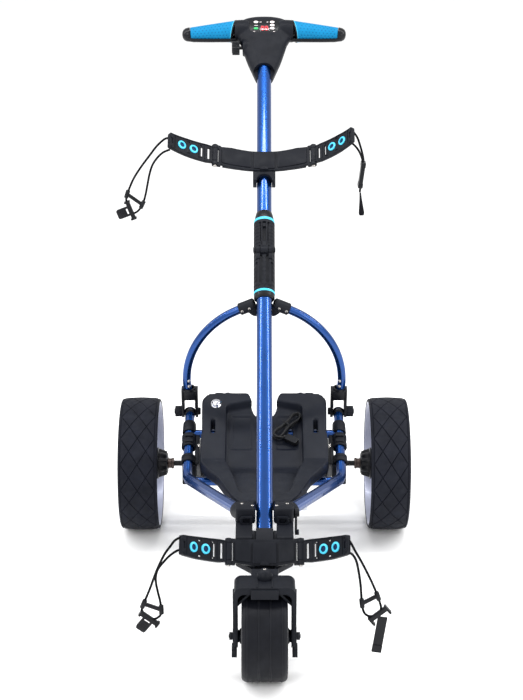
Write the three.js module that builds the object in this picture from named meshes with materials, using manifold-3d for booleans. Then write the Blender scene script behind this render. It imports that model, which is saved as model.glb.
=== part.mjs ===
// Three-wheeled electric golf trolley, in millimetres, +Z up, front towards -Y.
// Lengths along Y are first measured from the rear axle. The last lines move the whole
// trolley so that its origin is on the ground, below the middle of its outer box.
import * as THREE from 'three';
import { mergeVertices } from 'three/addons/utils/BufferGeometryUtils.js';
import Module from 'manifold-3d';

const wasm = await Module();
wasm.setup();

// ---- driving dimensions ----
const GAP = 0.3; // clearance between pieces that touch
const WALL = 1.8; // tube wall

const REAR_WHEEL_RADIUS = 150;
const REAR_TYRE_WIDTH = 87;
const REAR_TYRE_DEPTH = 10.5;
const REAR_TYRE_INNER_X = 235;
const AXLE_RADIUS = 6.35;
const HUB_RADIUS = 35;
const FRONT_WHEEL_RADIUS = 87;
const FRONT_TYRE_WIDTH = 88;
const FRONT_TYRE_DEPTH = 22;
const FRONT_AXLE_Y = -670;

const MAST_ANGLE = 41.2; // degrees above the ground
const MAST_FOOT_Y = -453; // the point of the mast axis that everything on it is measured from
const MAST_FOOT_Z = 260;
const MAST_RADIUS = 16.5;
const MAST_BELOW_FOOT = 100;
const MAST_TOP = 1170;
const FOLD_HEIGHT = 588;
const FOLD_BODY_RADIUS = 23;
const FOLD_BODY_HALF = 104;
const FOLD_SOCKET = 48;
const FOLD_PIN_FORWARD = 20;
const FOLD_PIN_RADIUS = 4;
const KNUCKLE_RADIUS = 9;
const ARCH_HINGE_HEIGHT = 463;
const ARCH_HINGE_BEHIND = 28;

const PIVOT_X = 165;
const PIVOT_Y = -30;
const PIVOT_Z = 290;
const PIVOT_BOLT_RADIUS = 4;
const ARCH_TUBE_RADIUS = 9.5;
const ARCH_RADIUS = 197;
const ARCH_SWEEP = 66; // degrees
const ARCH_BULGE = 5.5;
const FRAME_TUBE_RADIUS = 11.5;
const BEND_Y = -203;
const BEND_Z = 204;
const BEND_RADIUS = 48;
const FRAME_FRONT_X = 40;
const FRAME_FRONT_Y = -474;
const FRAME_FRONT_Z = 250;
const FRAME_KNUCKLE_X = FRAME_FRONT_X + FRAME_TUBE_RADIUS + 8.5; // side of the knuckle around the tube
const CROSS_TUBE_RADIUS = 9.5;

const TRAY_HALF_WIDTH = 138;
const TRAY_REAR_Y = -31;
const TRAY_FRONT_Y = -392;
const TRAY_WALL = 8;
const TRAY_FLOOR_Z = 225; // top of the level part of the floor
const TRAY_REAR_Z = 311;
const TRAY_RIM = 20;
const POCKET_HALF_WIDTH = 85;

const UPPER_CRADLE = { height: 818, forward: 25, tilt: 0, radius: 285, hinge: 109, band: 54 };
const LOWER_CRADLE = { height: -115, forward: 30.6, tilt: 10.8, radius: 195, hinge: 70, band: 52 };
const BAND_THICKNESS = 8;
const ARM_LENGTH = 116;
const ARM_HEIGHT = 34;

const CORD_RADIUS = 2.4;
const LEAD_RADIUS = 2.5;

const GRIP_INNER_X = 71;
const GRIP_OUTER_X = 173;
const GRIP_INNER_RADIUS = 25;
const GRIP_OUTER_RADIUS = 16;
const GRIP_BOTTOM = MAST_TOP + 11;
const HANDLE_HALF_WIDTH = 194;
const HANDLE_CORE_RADIUS = 9;
const SHELL_THICKNESS = 46;
const KNOB_RADIUS = 16.5;
const KNOB_HEIGHT = MAST_TOP - 13;
const BUTTON_TRAVEL = 1;

// ---- materials ----
const finish = (color, roughness, metalness = 0) =>
  new THREE.MeshStandardMaterial({ color, roughness, metalness });
const blueTube = finish(0x0b55a5, 0.28, 0.85);
const blackPlastic = finish(0x1e2430, 0.5);
const blackMetal = finish(0x23262c, 0.42, 0.4);
const turquoise = finish(0x1fa8d0, 0.6);
const silver = finish(0xa2a4aa, 0.32, 0.9);
const rubber = finish(0x17181c, 0.85);
const elastic = finish(0x101114, 0.8);
const whitePlastic = finish(0xe4dcdc, 0.45);
const greenPlastic = finish(0x39b26b, 0.45);

// ---- solids ----
const radians = THREE.MathUtils.degToRad;

function toSolid(geometry) {
  const bare = geometry.clone();
  bare.deleteAttribute('normal');
  bare.deleteAttribute('uv');
  const merged = mergeVertices(bare, 1e-3);
  const place = merged.getAttribute('position');
  const corner = (i) => new THREE.Vector3().fromBufferAttribute(place, i);
  const faces = [];
  let volume = 0;
  for (let i = 0; i < merged.index.count; i += 3) {
    const [a, b, c] = [0, 1, 2].map((k) => merged.index.getX(i + k));
    if (a === b || b === c || c === a) continue;
    faces.push([a, b, c]);
    volume += corner(a).dot(corner(b).cross(corner(c)));
  }
  const facing = volume < 0 ? faces.map(([a, b, c]) => [a, c, b]) : faces;
  return new wasm.Manifold(new wasm.Mesh({
    numProp: 3,
    vertProperties: new Float32Array(place.array),
    triVerts: new Uint32Array(facing.flat()),
  }));
}

function toGeometry(solid) {
  const mesh = solid.getMesh();
  const geometry = new THREE.BufferGeometry();
  geometry.setAttribute('position', new THREE.BufferAttribute(new Float32Array(mesh.vertProperties), 3));
  geometry.setIndex(new THREE.BufferAttribute(new Uint32Array(mesh.triVerts), 1));
  geometry.computeVertexNormals();
  return geometry;
}

const asSolid = (shape) => (shape.isBufferGeometry ? toSolid(shape) : shape);
const join = (...shapes) => shapes.map(asSolid).reduce((sum, next) => sum.add(next));
const cut = (shape, ...tools) => tools.reduce((left, tool) => left.subtract(asSolid(tool)), asSolid(shape));
const common = (a, b) => asSolid(a).intersect(asSolid(b));
const moved = (solid, matrix) => toSolid(toGeometry(solid).applyMatrix4(matrix));
const forSide = (solid, side) => (side > 0 ? solid : toSolid(toGeometry(solid).scale(-1, 1, 1)));

function add(group, name, shape, material) {
  const mesh = new THREE.Mesh(toGeometry(asSolid(shape)), material);
  mesh.name = name;
  group.add(mesh);
  return mesh;
}

function block([x0, x1], [y0, y1], [z0, z1]) {
  const geometry = new THREE.BoxGeometry(x1 - x0, y1 - y0, z1 - z0);
  return geometry.translate((x0 + x1) / 2, (y0 + y1) / 2, (z0 + z1) / 2);
}

// A round bar along X, Y or Z from one end to the other.
function bar(axis, radius, from, to, [u, v] = [0, 0], segments = 16) {
  const geometry = new THREE.CylinderGeometry(radius, radius, to - from, segments);
  const middle = (from + to) / 2;
  if (axis === 'x') return geometry.rotateZ(-Math.PI / 2).translate(middle, u, v);
  if (axis === 'y') return geometry.translate(u, middle, v);
  return geometry.rotateX(Math.PI / 2).translate(u, v, middle);
}

// A closed profile of [radius, place along the axis], turned about X.
function turned(profile, segments = 28) {
  const points = [...profile, profile[0]].map(([r, x]) => new THREE.Vector2(r, x));
  return new THREE.LatheGeometry(points, segments).rotateZ(-Math.PI / 2);
}

const outline = (points) => new THREE.Shape(points.map(([u, v]) => new THREE.Vector2(u, v)));
const facesX = new THREE.Matrix4().makeBasis(
  new THREE.Vector3(0, 1, 0), new THREE.Vector3(0, 0, 1), new THREE.Vector3(1, 0, 0));
const facesY = new THREE.Matrix4().makeBasis(
  new THREE.Vector3(1, 0, 0), new THREE.Vector3(0, 0, 1), new THREE.Vector3(0, -1, 0));

// A flat outline made into a plate: [y, z] points along X, [x, z] along Y, [x, y] along Z.
function plate(axis, shape, from, to) {
  const flat = Array.isArray(shape) ? outline(shape) : shape;
  const geometry = new THREE.ExtrudeGeometry(flat, { depth: to - from, bevelEnabled: false, curveSegments: 6 });
  if (axis === 'x') return geometry.applyMatrix4(facesX).translate(from, 0, 0);
  if (axis === 'y') return geometry.applyMatrix4(facesY).translate(0, to, 0);
  return geometry.translate(0, 0, from);
}

const vector = ([x, y, z]) => new THREE.Vector3(x, y, z);

// A straight run, a round corner and a straight run through three points.
function bentPath(start, corner, end, radius, more = []) {
  const [a, b, c] = [start, corner, end].map(vector);
  const back = a.clone().sub(b).normalize();
  const on = c.clone().sub(b).normalize();
  const reach = radius / Math.tan(back.angleTo(on) / 2);
  const first = b.clone().addScaledVector(back, reach);
  const last = b.clone().addScaledVector(on, reach);
  const path = new THREE.CurvePath();
  path.add(new THREE.LineCurve3(a, first));
  path.add(new THREE.QuadraticBezierCurve3(first, b, last));
  path.add(new THREE.LineCurve3(last, c));
  more.forEach((curve) => path.add(curve));
  return path;
}

function circle(radius, inner, segments) {
  const ring = (r) => Array.from({ length: segments }, (_, i) => {
    const angle = (2 * Math.PI * i) / segments;
    return new THREE.Vector2(r * Math.cos(angle), r * Math.sin(angle));
  });
  const shape = new THREE.Shape(ring(radius));
  if (inner > 0) shape.holes.push(new THREE.Path(ring(inner).reverse()));
  return shape;
}

function swept(path, radius, steps, inner = 0, segments = 12) {
  return new THREE.ExtrudeGeometry(circle(radius, inner, segments), { extrudePath: path, steps, bevelEnabled: false });
}

function straight(from, to, radius, inner = 0, segments = 14) {
  return swept(new THREE.LineCurve3(vector(from), vector(to)), radius, 1, inner, segments);
}

// ---- places worked out from the driving dimensions ----
const mastUp = { y: Math.cos(radians(MAST_ANGLE)), z: Math.sin(radians(MAST_ANGLE)) };
const mastPlace = (height, behind = 0) => ({
  y: MAST_FOOT_Y + height * mastUp.y + behind * mastUp.z,
  z: MAST_FOOT_Z + height * mastUp.z - behind * mastUp.y,
});
const archTop = mastPlace(ARCH_HINGE_HEIGHT, ARCH_HINGE_BEHIND);
const ARCH_HEIGHT = Math.hypot(archTop.y - PIVOT_Y, archTop.z - PIVOT_Z);
const ARCH_LEAN = Math.atan2(PIVOT_Y - archTop.y, archTop.z - PIVOT_Z);
const AXLE_Z = REAR_WHEEL_RADIUS;
const FRONT_AXLE_Z = FRONT_WHEEL_RADIUS;

const trolley = new THREE.Group();
const mast = new THREE.Group();
mast.position.set(0, MAST_FOOT_Y, MAST_FOOT_Z);
mast.rotation.x = radians(MAST_ANGLE - 90);
const arch = new THREE.Group();
arch.position.set(0, PIVOT_Y, PIVOT_Z);
arch.rotation.x = ARCH_LEAN;
trolley.add(mast, arch);

// ---- mast, in its own upright frame: front towards -Y ----
const mastBore = (from, to) => bar('z', MAST_RADIUS + GAP, from, to, [0, 0], 20);
const foldBottom = FOLD_HEIGHT - FOLD_BODY_HALF;
const foldTop = FOLD_HEIGHT + FOLD_BODY_HALF;

function hollowBar(radius, wall, from, to, segments) {
  return new THREE.ExtrudeGeometry(circle(radius, radius - wall, segments),
    { depth: to - from, bevelEnabled: false }).translate(0, 0, from);
}

add(mast, 'mast_lower_tube',
  hollowBar(MAST_RADIUS, WALL, -MAST_BELOW_FOOT, foldBottom + FOLD_SOCKET - GAP, 20), blueTube);
add(mast, 'mast_upper_tube', hollowBar(MAST_RADIUS, WALL, foldTop - FOLD_SOCKET + GAP, MAST_TOP, 20), blueTube);

function foldHousings() {
  const relief = FOLD_BODY_RADIUS - 9;
  const pinAt = [-FOLD_PIN_FORWARD, FOLD_HEIGHT];
  const pinHole = bar('x', FOLD_PIN_RADIUS + GAP, -30, 30, pinAt, 12);
  const front = -FOLD_BODY_RADIUS;
  const notchBack = KNUCKLE_RADIUS + GAP - FOLD_PIN_FORWARD;
  const knuckle = (x0, x1, z0, z1) => join(
    bar('x', KNUCKLE_RADIUS, x0, x1, pinAt, 16), block([x0, x1], [front, notchBack + 2], [z0, z1]));
  const notch = block([-30, 30], [-40, notchBack], [FOLD_HEIGHT - relief, FOLD_HEIGHT + relief]);
  const inner = 9;
  const outer = 18;

  let lower = cut(bar('z', FOLD_BODY_RADIUS, foldBottom, FOLD_HEIGHT - GAP / 2, [0, 0], 24), notch);
  lower = join(lower, knuckle(inner + GAP, outer, FOLD_HEIGHT - 20, FOLD_HEIGHT),
    knuckle(-outer, -inner - GAP, FOLD_HEIGHT - 20, FOLD_HEIGHT));
  const lugRadius = ARCH_HINGE_BEHIND - MAST_RADIUS - 1;
  const lug = join(bar('x', lugRadius, -8, 8, [ARCH_HINGE_BEHIND, ARCH_HINGE_HEIGHT], 16),
    plate('x', [[ARCH_HINGE_BEHIND - lugRadius, ARCH_HINGE_HEIGHT], [ARCH_HINGE_BEHIND + lugRadius, ARCH_HINGE_HEIGHT],
      [ARCH_HINGE_BEHIND, foldBottom + 14], [MAST_RADIUS + 2, foldBottom + 14]], -8, 8));
  lower = cut(join(lower, lug), mastBore(foldBottom - 1, foldBottom + FOLD_SOCKET), pinHole,
    bar('x', PIVOT_BOLT_RADIUS + GAP, -10, 10, [ARCH_HINGE_BEHIND, ARCH_HINGE_HEIGHT], 12));

  let upper = cut(bar('z', FOLD_BODY_RADIUS, FOLD_HEIGHT + GAP / 2, foldTop, [0, 0], 24), notch);
  upper = join(upper, knuckle(-inner, inner, FOLD_HEIGHT, FOLD_HEIGHT + 20));
  upper = cut(upper, mastBore(foldTop - FOLD_SOCKET, foldTop + 1), pinHole);
  add(mast, 'fold_housing_lower', lower, blackPlastic);
  add(mast, 'fold_housing_upper', upper, blackPlastic);

  add(mast, 'fold_pin', join(bar('x', FOLD_PIN_RADIUS, -24, 24, pinAt, 12),
    bar('x', 6.5, outer + GAP, 24, pinAt, 14), bar('x', 6.5, -24, -outer - GAP, pinAt, 14)), silver);

  const back = FOLD_BODY_RADIUS + GAP;
  add(mast, 'fold_latch_lever', plate('x', [[back, FOLD_HEIGHT - 46], [back + 9, FOLD_HEIGHT - 50],
    [back + 11, FOLD_HEIGHT - 40], [back + 6, FOLD_HEIGHT + 26], [back, FOLD_HEIGHT + 22]], -11, 11), blackPlastic);
}
foldHousings();

// ---- handle ----
function handle() {
  const side = [[20, -106], [36, -65], [47, -30], [53, -4], [57, 8], [GRIP_INNER_X - GAP, GRIP_BOTTOM - MAST_TOP],
    [GRIP_INNER_X - GAP, 60], [50, 67], [25, 71]].map(([x, aboveTop]) => [x, MAST_TOP + aboveTop]);
  const left = side.map(([x, z]) => [-x, z]).reverse();
  const half = SHELL_THICKNESS / 2;
  const body = plate('y', [...side, ...left], -half, half);
  const axisInner = GRIP_BOTTOM + GRIP_INNER_RADIUS;
  const axisOuter = GRIP_BOTTOM + GRIP_OUTER_RADIUS;
  const slope = (axisOuter - axisInner) / (GRIP_OUTER_X - GRIP_INNER_X);
  const lean = Math.atan(slope);
  const leaned = (geometry) => geometry.rotateY(-lean).translate(GRIP_INNER_X, 0, axisInner);
  const length = Math.hypot(GRIP_OUTER_X - GRIP_INNER_X, axisOuter - axisInner);
  const capLength = HANDLE_HALF_WIDTH - GRIP_OUTER_X - 2;
  const core = leaned(turned([[0, -6], [HANDLE_CORE_RADIUS, -6], [HANDLE_CORE_RADIUS, length + GAP],
    [GRIP_OUTER_RADIUS, length + GAP], [GRIP_OUTER_RADIUS - 3, length + capLength * 0.65],
    [GRIP_OUTER_RADIUS - 9, length + capLength], [0, length + capLength]], 20));
  const grip = leaned(turned([[HANDLE_CORE_RADIUS + GAP, 1], [GRIP_INNER_RADIUS, 1],
    [GRIP_OUTER_RADIUS, length - GAP], [HANDLE_CORE_RADIUS + GAP, length - GAP]], 20));
  const cutGrip = cut(grip, block([0, GRIP_INNER_X + GAP], [-60, 60], [MAST_TOP - 70, MAST_TOP + 130]));
  const coreSolid = toSolid(core);
  const bossFrom = 38;
  const bossTo = 50;
  const boss = bar('x', KNOB_RADIUS + 3.5, -bossTo, -bossFrom, [0, KNOB_HEIGHT], 24);
  let shell = join(body, coreSolid, forSide(coreSolid, -1), boss);
  shell = cut(shell, mastBore(MAST_TOP - 120, MAST_TOP + GAP),
    bar('y', 27, -60, -10, [0, MAST_TOP - 100], 20),
    bar('x', 4.3, -60, -30, [0, KNOB_HEIGHT], 12));

  const panelFront = -half;
  const rowTop = MAST_TOP + 45.5;
  const rowMiddle = MAST_TOP + 36;
  const rowBottom = MAST_TOP + 26.5;
  const buttons = { stop: [-19, rowTop], start: [-19, rowBottom], faster: [19, rowTop], cruise: [19, rowMiddle],
    slower: [19, rowBottom] };
  const colours = { stop: whitePlastic, start: greenPlastic, faster: whitePlastic, cruise: whitePlastic,
    slower: whitePlastic };
  const oval = ([x, z], grow) => {
    const shape = new THREE.Shape();
    shape.absellipse(x, z, 5.4 + grow, 2.9 + grow, 0, 2 * Math.PI);
    return shape;
  };
  for (const [name, place] of Object.entries(buttons)) {
    shell = cut(shell, plate('y', oval(place, GAP), panelFront - 1, panelFront + 3));
    add(mast, `button_${name}`, plate('y', oval(place, 0), panelFront - 1.2,
      panelFront + 3 - BUTTON_TRAVEL - GAP), colours[name]);
  }
  add(mast, 'handle_shell', shell, blackPlastic);
  add(mast, 'grip_right', cutGrip, turquoise);
  add(mast, 'grip_left', forSide(cutGrip, -1), turquoise);
  add(mast, 'speed_knob', join(bar('x', KNOB_RADIUS, -74, -57, [0, KNOB_HEIGHT], 24),
    bar('x', 4, -60, -40, [0, KNOB_HEIGHT], 12)), blackPlastic);
}
handle();

// ---- cradles: a curved band on the mast with a hinged arm at each end ----
// Angle along a cradle's circle, from its middle, at a distance along it.
function ringPoint(radius, angle, inward = 0) {
  return [(radius - inward) * Math.sin(angle), -radius + (radius - inward) * Math.cos(angle)];
}

function arcPlate(radius, from, to, thickness, steps) {
  const angles = Array.from({ length: steps + 1 }, (_, i) => from + ((to - from) * i) / steps);
  return [...angles.map((a) => ringPoint(radius, a, -thickness / 2)),
    ...angles.map((a) => ringPoint(radius, a, thickness / 2)).reverse()];
}

function cradle(name, size, restTurn) {
  const group = new THREE.Group();
  group.position.set(0, -size.forward, size.height);
  group.rotation.x = radians(size.tilt);
  mast.add(group);
  const hingeAngle = Math.asin(size.hinge / size.radius);
  const [hingeX, hingeY] = ringPoint(size.radius, hingeAngle);
  const half = size.band / 2;
  const eye = ARM_HEIGHT / 2;
  const knuckle = 7;
  const bandEnd = hingeAngle - (knuckle + 2) / size.radius;

  let band = toSolid(plate('z', arcPlate(size.radius, -bandEnd, bandEnd, BAND_THICKNESS, 8), -half, half));
  // A flat pad in the middle of the front, where a strap or a bag's foot bears.
  const pad = BAND_THICKNESS / 2 + 1.5;
  band = join(band, block([-24, 24], [-pad, 0], [-half + 4, half - 4]));
  for (const side of [-1, 1]) {
    for (const end of [-1, 1]) {
      const [from, to] = end > 0 ? [eye + GAP, half] : [-half, -eye - GAP];
      const lug = join(bar('z', knuckle, from, to, [hingeX, hingeY], 14),
        plate('z', arcPlate(size.radius, bandEnd - 0.03, hingeAngle, BAND_THICKNESS, 2), from, to));
      band = join(band, forSide(lug, side));
    }
  }
  // The saddle: a ring on the mast tube and a web to the band, made in the mast's frame.
  const ringFrom = size === UPPER_CRADLE ? -18 : 17;
  const ringTo = ringFrom + 36;
  const toBand = new THREE.Matrix4().makeRotationX(radians(-size.tilt));
  const toMast = new THREE.Matrix4().makeTranslation(0, size.forward, 0);
  const inBandFrame = (geometry) => geometry.applyMatrix4(toMast).applyMatrix4(toBand);
  const ring = inBandFrame(bar('z', MAST_RADIUS + 5, ringFrom, ringTo, [0, 0], 20));
  const web = inBandFrame(block([-17, 17], [-size.forward - 1, -MAST_RADIUS + 2], [Math.min(ringFrom, -14), ringTo]));
  const bore = inBandFrame(bar('z', MAST_RADIUS + GAP, -80, 90, [0, 0], 20));
  band = cut(join(band, ring, web), bore);
  add(group, `${name}_band`, band, blackPlastic);

  for (const [word, side] of [['left', -1], ['right', 1]]) {
    const sweep = ARM_LENGTH / size.radius;
    const start = hingeAngle + 1 / size.radius;
    const slot = (a, b) => plate('z', arcPlate(size.radius, a, b, 3 * BAND_THICKNESS, 2), -eye + 8, eye - 8);
    let arm = join(plate('z', arcPlate(size.radius, start, hingeAngle + sweep, BAND_THICKNESS, 6), -eye, eye),
      bar('z', knuckle, -eye, eye, [hingeX, hingeY], 14));
    arm = cut(arm, slot(hingeAngle + 14 / size.radius, hingeAngle + 34 / size.radius));
    const hinge = new THREE.Group();
    hinge.position.set(side * hingeX, hingeY, 0);
    hinge.rotation.z = side * radians(restTurn[word]);
    group.add(hinge);
    const local = moved(arm, new THREE.Matrix4().makeTranslation(-hingeX, -hingeY, 0));
    add(hinge, `${name}_arm_${word}`, forSide(local, side), blackPlastic);
  }
}
cradle('upper_cradle', UPPER_CRADLE, { left: 4, right: -9 });
cradle('lower_cradle', LOWER_CRADLE, { left: 0, right: 0 });

// ---- support arch, in its own frame: X across, Z from the pivots to the mast hinge ----
function supportArch() {
  const socketFrom = 40;
  const straightTop = ARCH_HEIGHT + 4.2 - ARCH_RADIUS * Math.sin(radians(ARCH_SWEEP));
  const bulgeX = PIVOT_X + ARCH_BULGE;
  const centreX = bulgeX - ARCH_RADIUS;
  const arc = (angle) => [centreX + ARCH_RADIUS * Math.cos(angle), 0, straightTop + ARCH_RADIUS * Math.sin(angle)];
  const end = arc(radians(ARCH_SWEEP));
  const along = [-Math.sin(radians(ARCH_SWEEP)), 0, Math.cos(radians(ARCH_SWEEP))];
  const beyond = (distance) => end.map((value, i) => value + distance * along[i]);
  const path = new THREE.CatmullRomCurve3([
    [PIVOT_X, 0, socketFrom], [PIVOT_X + ARCH_BULGE * 0.72, 0, (socketFrom + straightTop) / 2],
    ...Array.from({ length: 9 }, (_, i) => arc(radians((ARCH_SWEEP * i) / 8))), beyond(14),
  ].map(vector));
  const tube = toSolid(swept(path, ARCH_TUBE_RADIUS, 13, ARCH_TUBE_RADIUS - WALL, 10));
  const socket = toSolid(swept(path, ARCH_TUBE_RADIUS + GAP, 13, 0, 10));

  const cheek = 6;
  const inside = FRAME_TUBE_RADIUS + GAP * 2;
  const clevisBlock = join(
    block([PIVOT_X - inside - cheek, PIVOT_X + inside + cheek], [-11, 11], [34, 62]),
    bar('x', 14, PIVOT_X - inside - cheek, PIVOT_X + inside + cheek, [0, 0], 18),
    block([PIVOT_X - inside - cheek, PIVOT_X + inside + cheek], [-11, 11], [0, 40]));
  const clevis = cut(clevisBlock, block([PIVOT_X - inside, PIVOT_X + inside], [-30, 30], [-30, 34]),
    bar('x', PIVOT_BOLT_RADIUS + GAP, PIVOT_X - 60, PIVOT_X + 60, [0, 0], 12), socket);
  const headFrom = inside + cheek + GAP;
  const knob = join(bar('x', 12, PIVOT_X + headFrom, PIVOT_X + headFrom + 15, [0, 0], 20),
    bar('x', PIVOT_BOLT_RADIUS, PIVOT_X - headFrom - 2, PIVOT_X + headFrom + 2, [0, 0], 12),
    bar('x', 8, PIVOT_X - headFrom - 5, PIVOT_X - headFrom, [0, 0], 16));
  for (const [word, side] of [['left', -1], ['right', 1]]) {
    add(arch, `arch_tube_${word}`, forSide(tube, side), blueTube);
    add(arch, `arch_clevis_${word}`, forSide(clevis, side), blackPlastic);
    add(arch, `pivot_knob_${word}`, forSide(knob, side), blackPlastic);
  }

  const sleeve = toSolid(straight(beyond(-12), beyond(24), ARCH_TUBE_RADIUS + 4));
  const cheekPlate = join(bar('x', 10, 8 + GAP, 17, [0, ARCH_HEIGHT], 16),
    block([8 + GAP, 17], [-10, 4], [ARCH_HEIGHT - 34, ARCH_HEIGHT]),
    block([12, 48], [-10, 8], [ARCH_HEIGHT - 34, ARCH_HEIGHT + 6]));
  const bridge = block([-30, 30], [-10, 4], [ARCH_HEIGHT - 34, ARCH_HEIGHT - 22]);
  const bolt = bar('x', PIVOT_BOLT_RADIUS, -20, 20, [0, ARCH_HEIGHT], 12);
  const keepOut = bar('x', 14, -8 - GAP, 8 + GAP, [0, ARCH_HEIGHT], 16);
  let yoke = join(sleeve, cheekPlate, forSide(join(sleeve, cheekPlate), -1), bridge);
  yoke = join(cut(yoke, socket, forSide(socket, -1), keepOut, mastPassage()), bolt);
  add(arch, 'y_connector', yoke, blackPlastic);
}

// The room that the mast and its fold joint take up near the arch, in the arch's frame.
function mastPassage() {
  const passage = bar('z', MAST_RADIUS + 1.5, -200, 18, [0, 0], 20);
  passage.translate(0, -ARCH_HINGE_BEHIND, 0);
  passage.rotateX(radians(MAST_ANGLE - 90) - ARCH_LEAN);
  return passage.translate(0, 0, ARCH_HEIGHT);
}
supportArch();

// ---- lower frame ----
const FRAME_STEPS = 14;
const frameFront = [FRAME_FRONT_X, FRAME_FRONT_Y, FRAME_FRONT_Z];
const frameBend = [PIVOT_X + 1, BEND_Y, BEND_Z];
const frameEnd = [PIVOT_X, PIVOT_Y, PIVOT_Z];
const framePath = bentPath(frameFront, frameBend, frameEnd, BEND_RADIUS);
const frameBore = toSolid(swept(framePath, FRAME_TUBE_RADIUS + GAP, FRAME_STEPS, 0, 10));
const onFrame = (y) => {
  const share = (y - BEND_Y) / (PIVOT_Y - BEND_Y);
  return [PIVOT_X, y, BEND_Z + share * (PIVOT_Z - BEND_Z)];
};

function lowerFrame() {
  const rearAt = onFrame(-86);
  const cross = (y, drop) => [[-PIVOT_X - 1, y, onFrame(y)[2] - drop], [PIVOT_X + 1, y, onFrame(y)[2] - drop]];
  const bolt = bar('x', PIVOT_BOLT_RADIUS + GAP, PIVOT_X - 60, PIVOT_X + 60, [PIVOT_Y, PIVOT_Z], 12);
  const tube = toSolid(swept(framePath, FRAME_TUBE_RADIUS, FRAME_STEPS, FRAME_TUBE_RADIUS - WALL, 10));
  const bored = cut(tube, bolt);
  for (const [word, side] of [['left', -1], ['right', 1]]) {
    add(trolley, `frame_tube_${word}`, forSide(bored, side), blueTube);
  }
  const between = (shape) => cut(shape, frameBore, forSide(frameBore, -1));
  const reach = PIVOT_X - FRAME_TUBE_RADIUS + 2;
  const trimmed = ([from, to]) => [[-reach, from[1], from[2]], [reach, to[1], to[2]]];
  const [r0, r1] = trimmed(cross(rearAt[1], 4));
  add(trolley, 'cross_tube_rear', between(straight(r0, r1, CROSS_TUBE_RADIUS)), blueTube);
  const [f0, f1] = trimmed(cross(BEND_Y - 4, 3));
  add(trolley, 'cross_tube_front', between(straight(f0, f1, CROSS_TUBE_RADIUS)), blueTube);

  const plateInner = TRAY_HALF_WIDTH + 3;
  const sleeveAt = (y, half, radius) => {
    const [x, , z] = onFrame(y);
    const rise = (PIVOT_Z - BEND_Z) / (PIVOT_Y - BEND_Y);
    return straight([x, y - half, z - half * rise], [x, y + half, z + half * rise], radius);
  };
  const profile = [[-34, AXLE_Z - 18], [-12, AXLE_Z - 34], [14, AXLE_Z - 32], [32, AXLE_Z - 6], [26, AXLE_Z + 24],
    [-96, onFrame(-96)[2] + 6], [-168, onFrame(-168)[2] + 2], [-150, onFrame(-150)[2] - 22]];
  let bracket = join(plate('x', profile, plateInner, plateInner + 11),
    sleeveAt(-112, 16, FRAME_TUBE_RADIUS + 4), sleeveAt(-158, 9, FRAME_TUBE_RADIUS + 4),
    bar('x', 17, plateInner, PIVOT_X + 20, [0, AXLE_Z], 20));
  const motorShaft = bar('x', AXLE_RADIUS + GAP, 100, 240, [0, AXLE_Z], 16);
  const crossRoom = straight([-reach - 9, rearAt[1], rearAt[2] - 4], [reach + 9, rearAt[1], rearAt[2] - 4],
    CROSS_TUBE_RADIUS + GAP);
  bracket = cut(bracket, frameBore, motorShaft, crossRoom);
  for (const [word, side] of [['left', -1], ['right', 1]]) {
    add(trolley, `axle_bracket_${word}`, forSide(bracket, side), blackPlastic);
  }
  const motorEnd = plateInner - GAP;
  let drive = join(bar('x', 37, 58, motorEnd, [0, AXLE_Z], 18), bar('x', 12, -60, 60, [0, AXLE_Z], 16),
    bar('x', 37, -motorEnd, -58, [0, AXLE_Z], 18),
    block([98, motorEnd], [-46, 26], [AXLE_Z - 30, AXLE_Z + 40]), block([-motorEnd, -98], [-46, 26],
      [AXLE_Z - 30, AXLE_Z + 40]));
  drive = cut(drive, bar('x', AXLE_RADIUS + GAP, 120, 200, [0, AXLE_Z], 16),
    bar('x', AXLE_RADIUS + GAP, -200, -120, [0, AXLE_Z], 16));
  add(trolley, 'drive_unit', drive, blackMetal);
}
lowerFrame();

// ---- rear wheels ----
const REAR_SEGMENTS = 30;
const FRONT_SEGMENTS = 24;

function rearWheels() {
  const inner = REAR_TYRE_INNER_X;
  const outer = inner + REAR_TYRE_WIDTH;
  const seat = REAR_WHEEL_RADIUS - REAR_TYRE_DEPTH;
  const hubFace = inner + 9;
  const webAt = inner + 34;
  const rimProfile = [[24, hubFace + 4], [34, hubFace + 4], [36, webAt], [seat - 12, webAt],
    [seat - 8, inner + 3], [seat - GAP, inner + 3], [seat - GAP, outer - 3], [seat - 8, outer - 3],
    [seat - 12, webAt + 9], [40, webAt + 9], [34, webAt + 22], [24, webAt + 22]];
  let rim = toSolid(turned(rimProfile, REAR_SEGMENTS));
  const windowCount = 5;
  for (let i = 0; i < windowCount; i += 1) {
    const angle = (2 * Math.PI * i) / windowCount;
    const at = [84 * Math.cos(angle), 84 * Math.sin(angle)];
    rim = cut(rim, bar('x', 30, webAt - 20, webAt + 30, at, 8));
  }
  const tyre = turned([[seat, inner + 2], [seat + 6, inner], [REAR_WHEEL_RADIUS, inner + 7],
    [REAR_WHEEL_RADIUS, outer - 7], [seat + 6, outer], [seat, outer - 2]], REAR_SEGMENTS);
  const hub = join(turned([[0, 140], [AXLE_RADIUS, 140], [AXLE_RADIUS, 206], [12.5, 206], [12.5, 218],
    [HUB_RADIUS, 218], [HUB_RADIUS, hubFace], [24 - GAP, hubFace + 2], [24 - GAP, webAt + 20],
    [0, webAt + 20]], 20));
  for (const [word, side] of [['left', -1], ['right', 1]]) {
    const wheel = new THREE.Group();
    wheel.position.set(0, 0, AXLE_Z);
    trolley.add(wheel);
    add(wheel, `rear_rim_${word}`, forSide(rim, side), silver);
    add(wheel, `rear_tyre_${word}`, forSide(asSolid(tyre), side), rubber);
    add(wheel, `rear_hub_${word}`, forSide(hub, side), blackPlastic);
  }
}
rearWheels();

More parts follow.
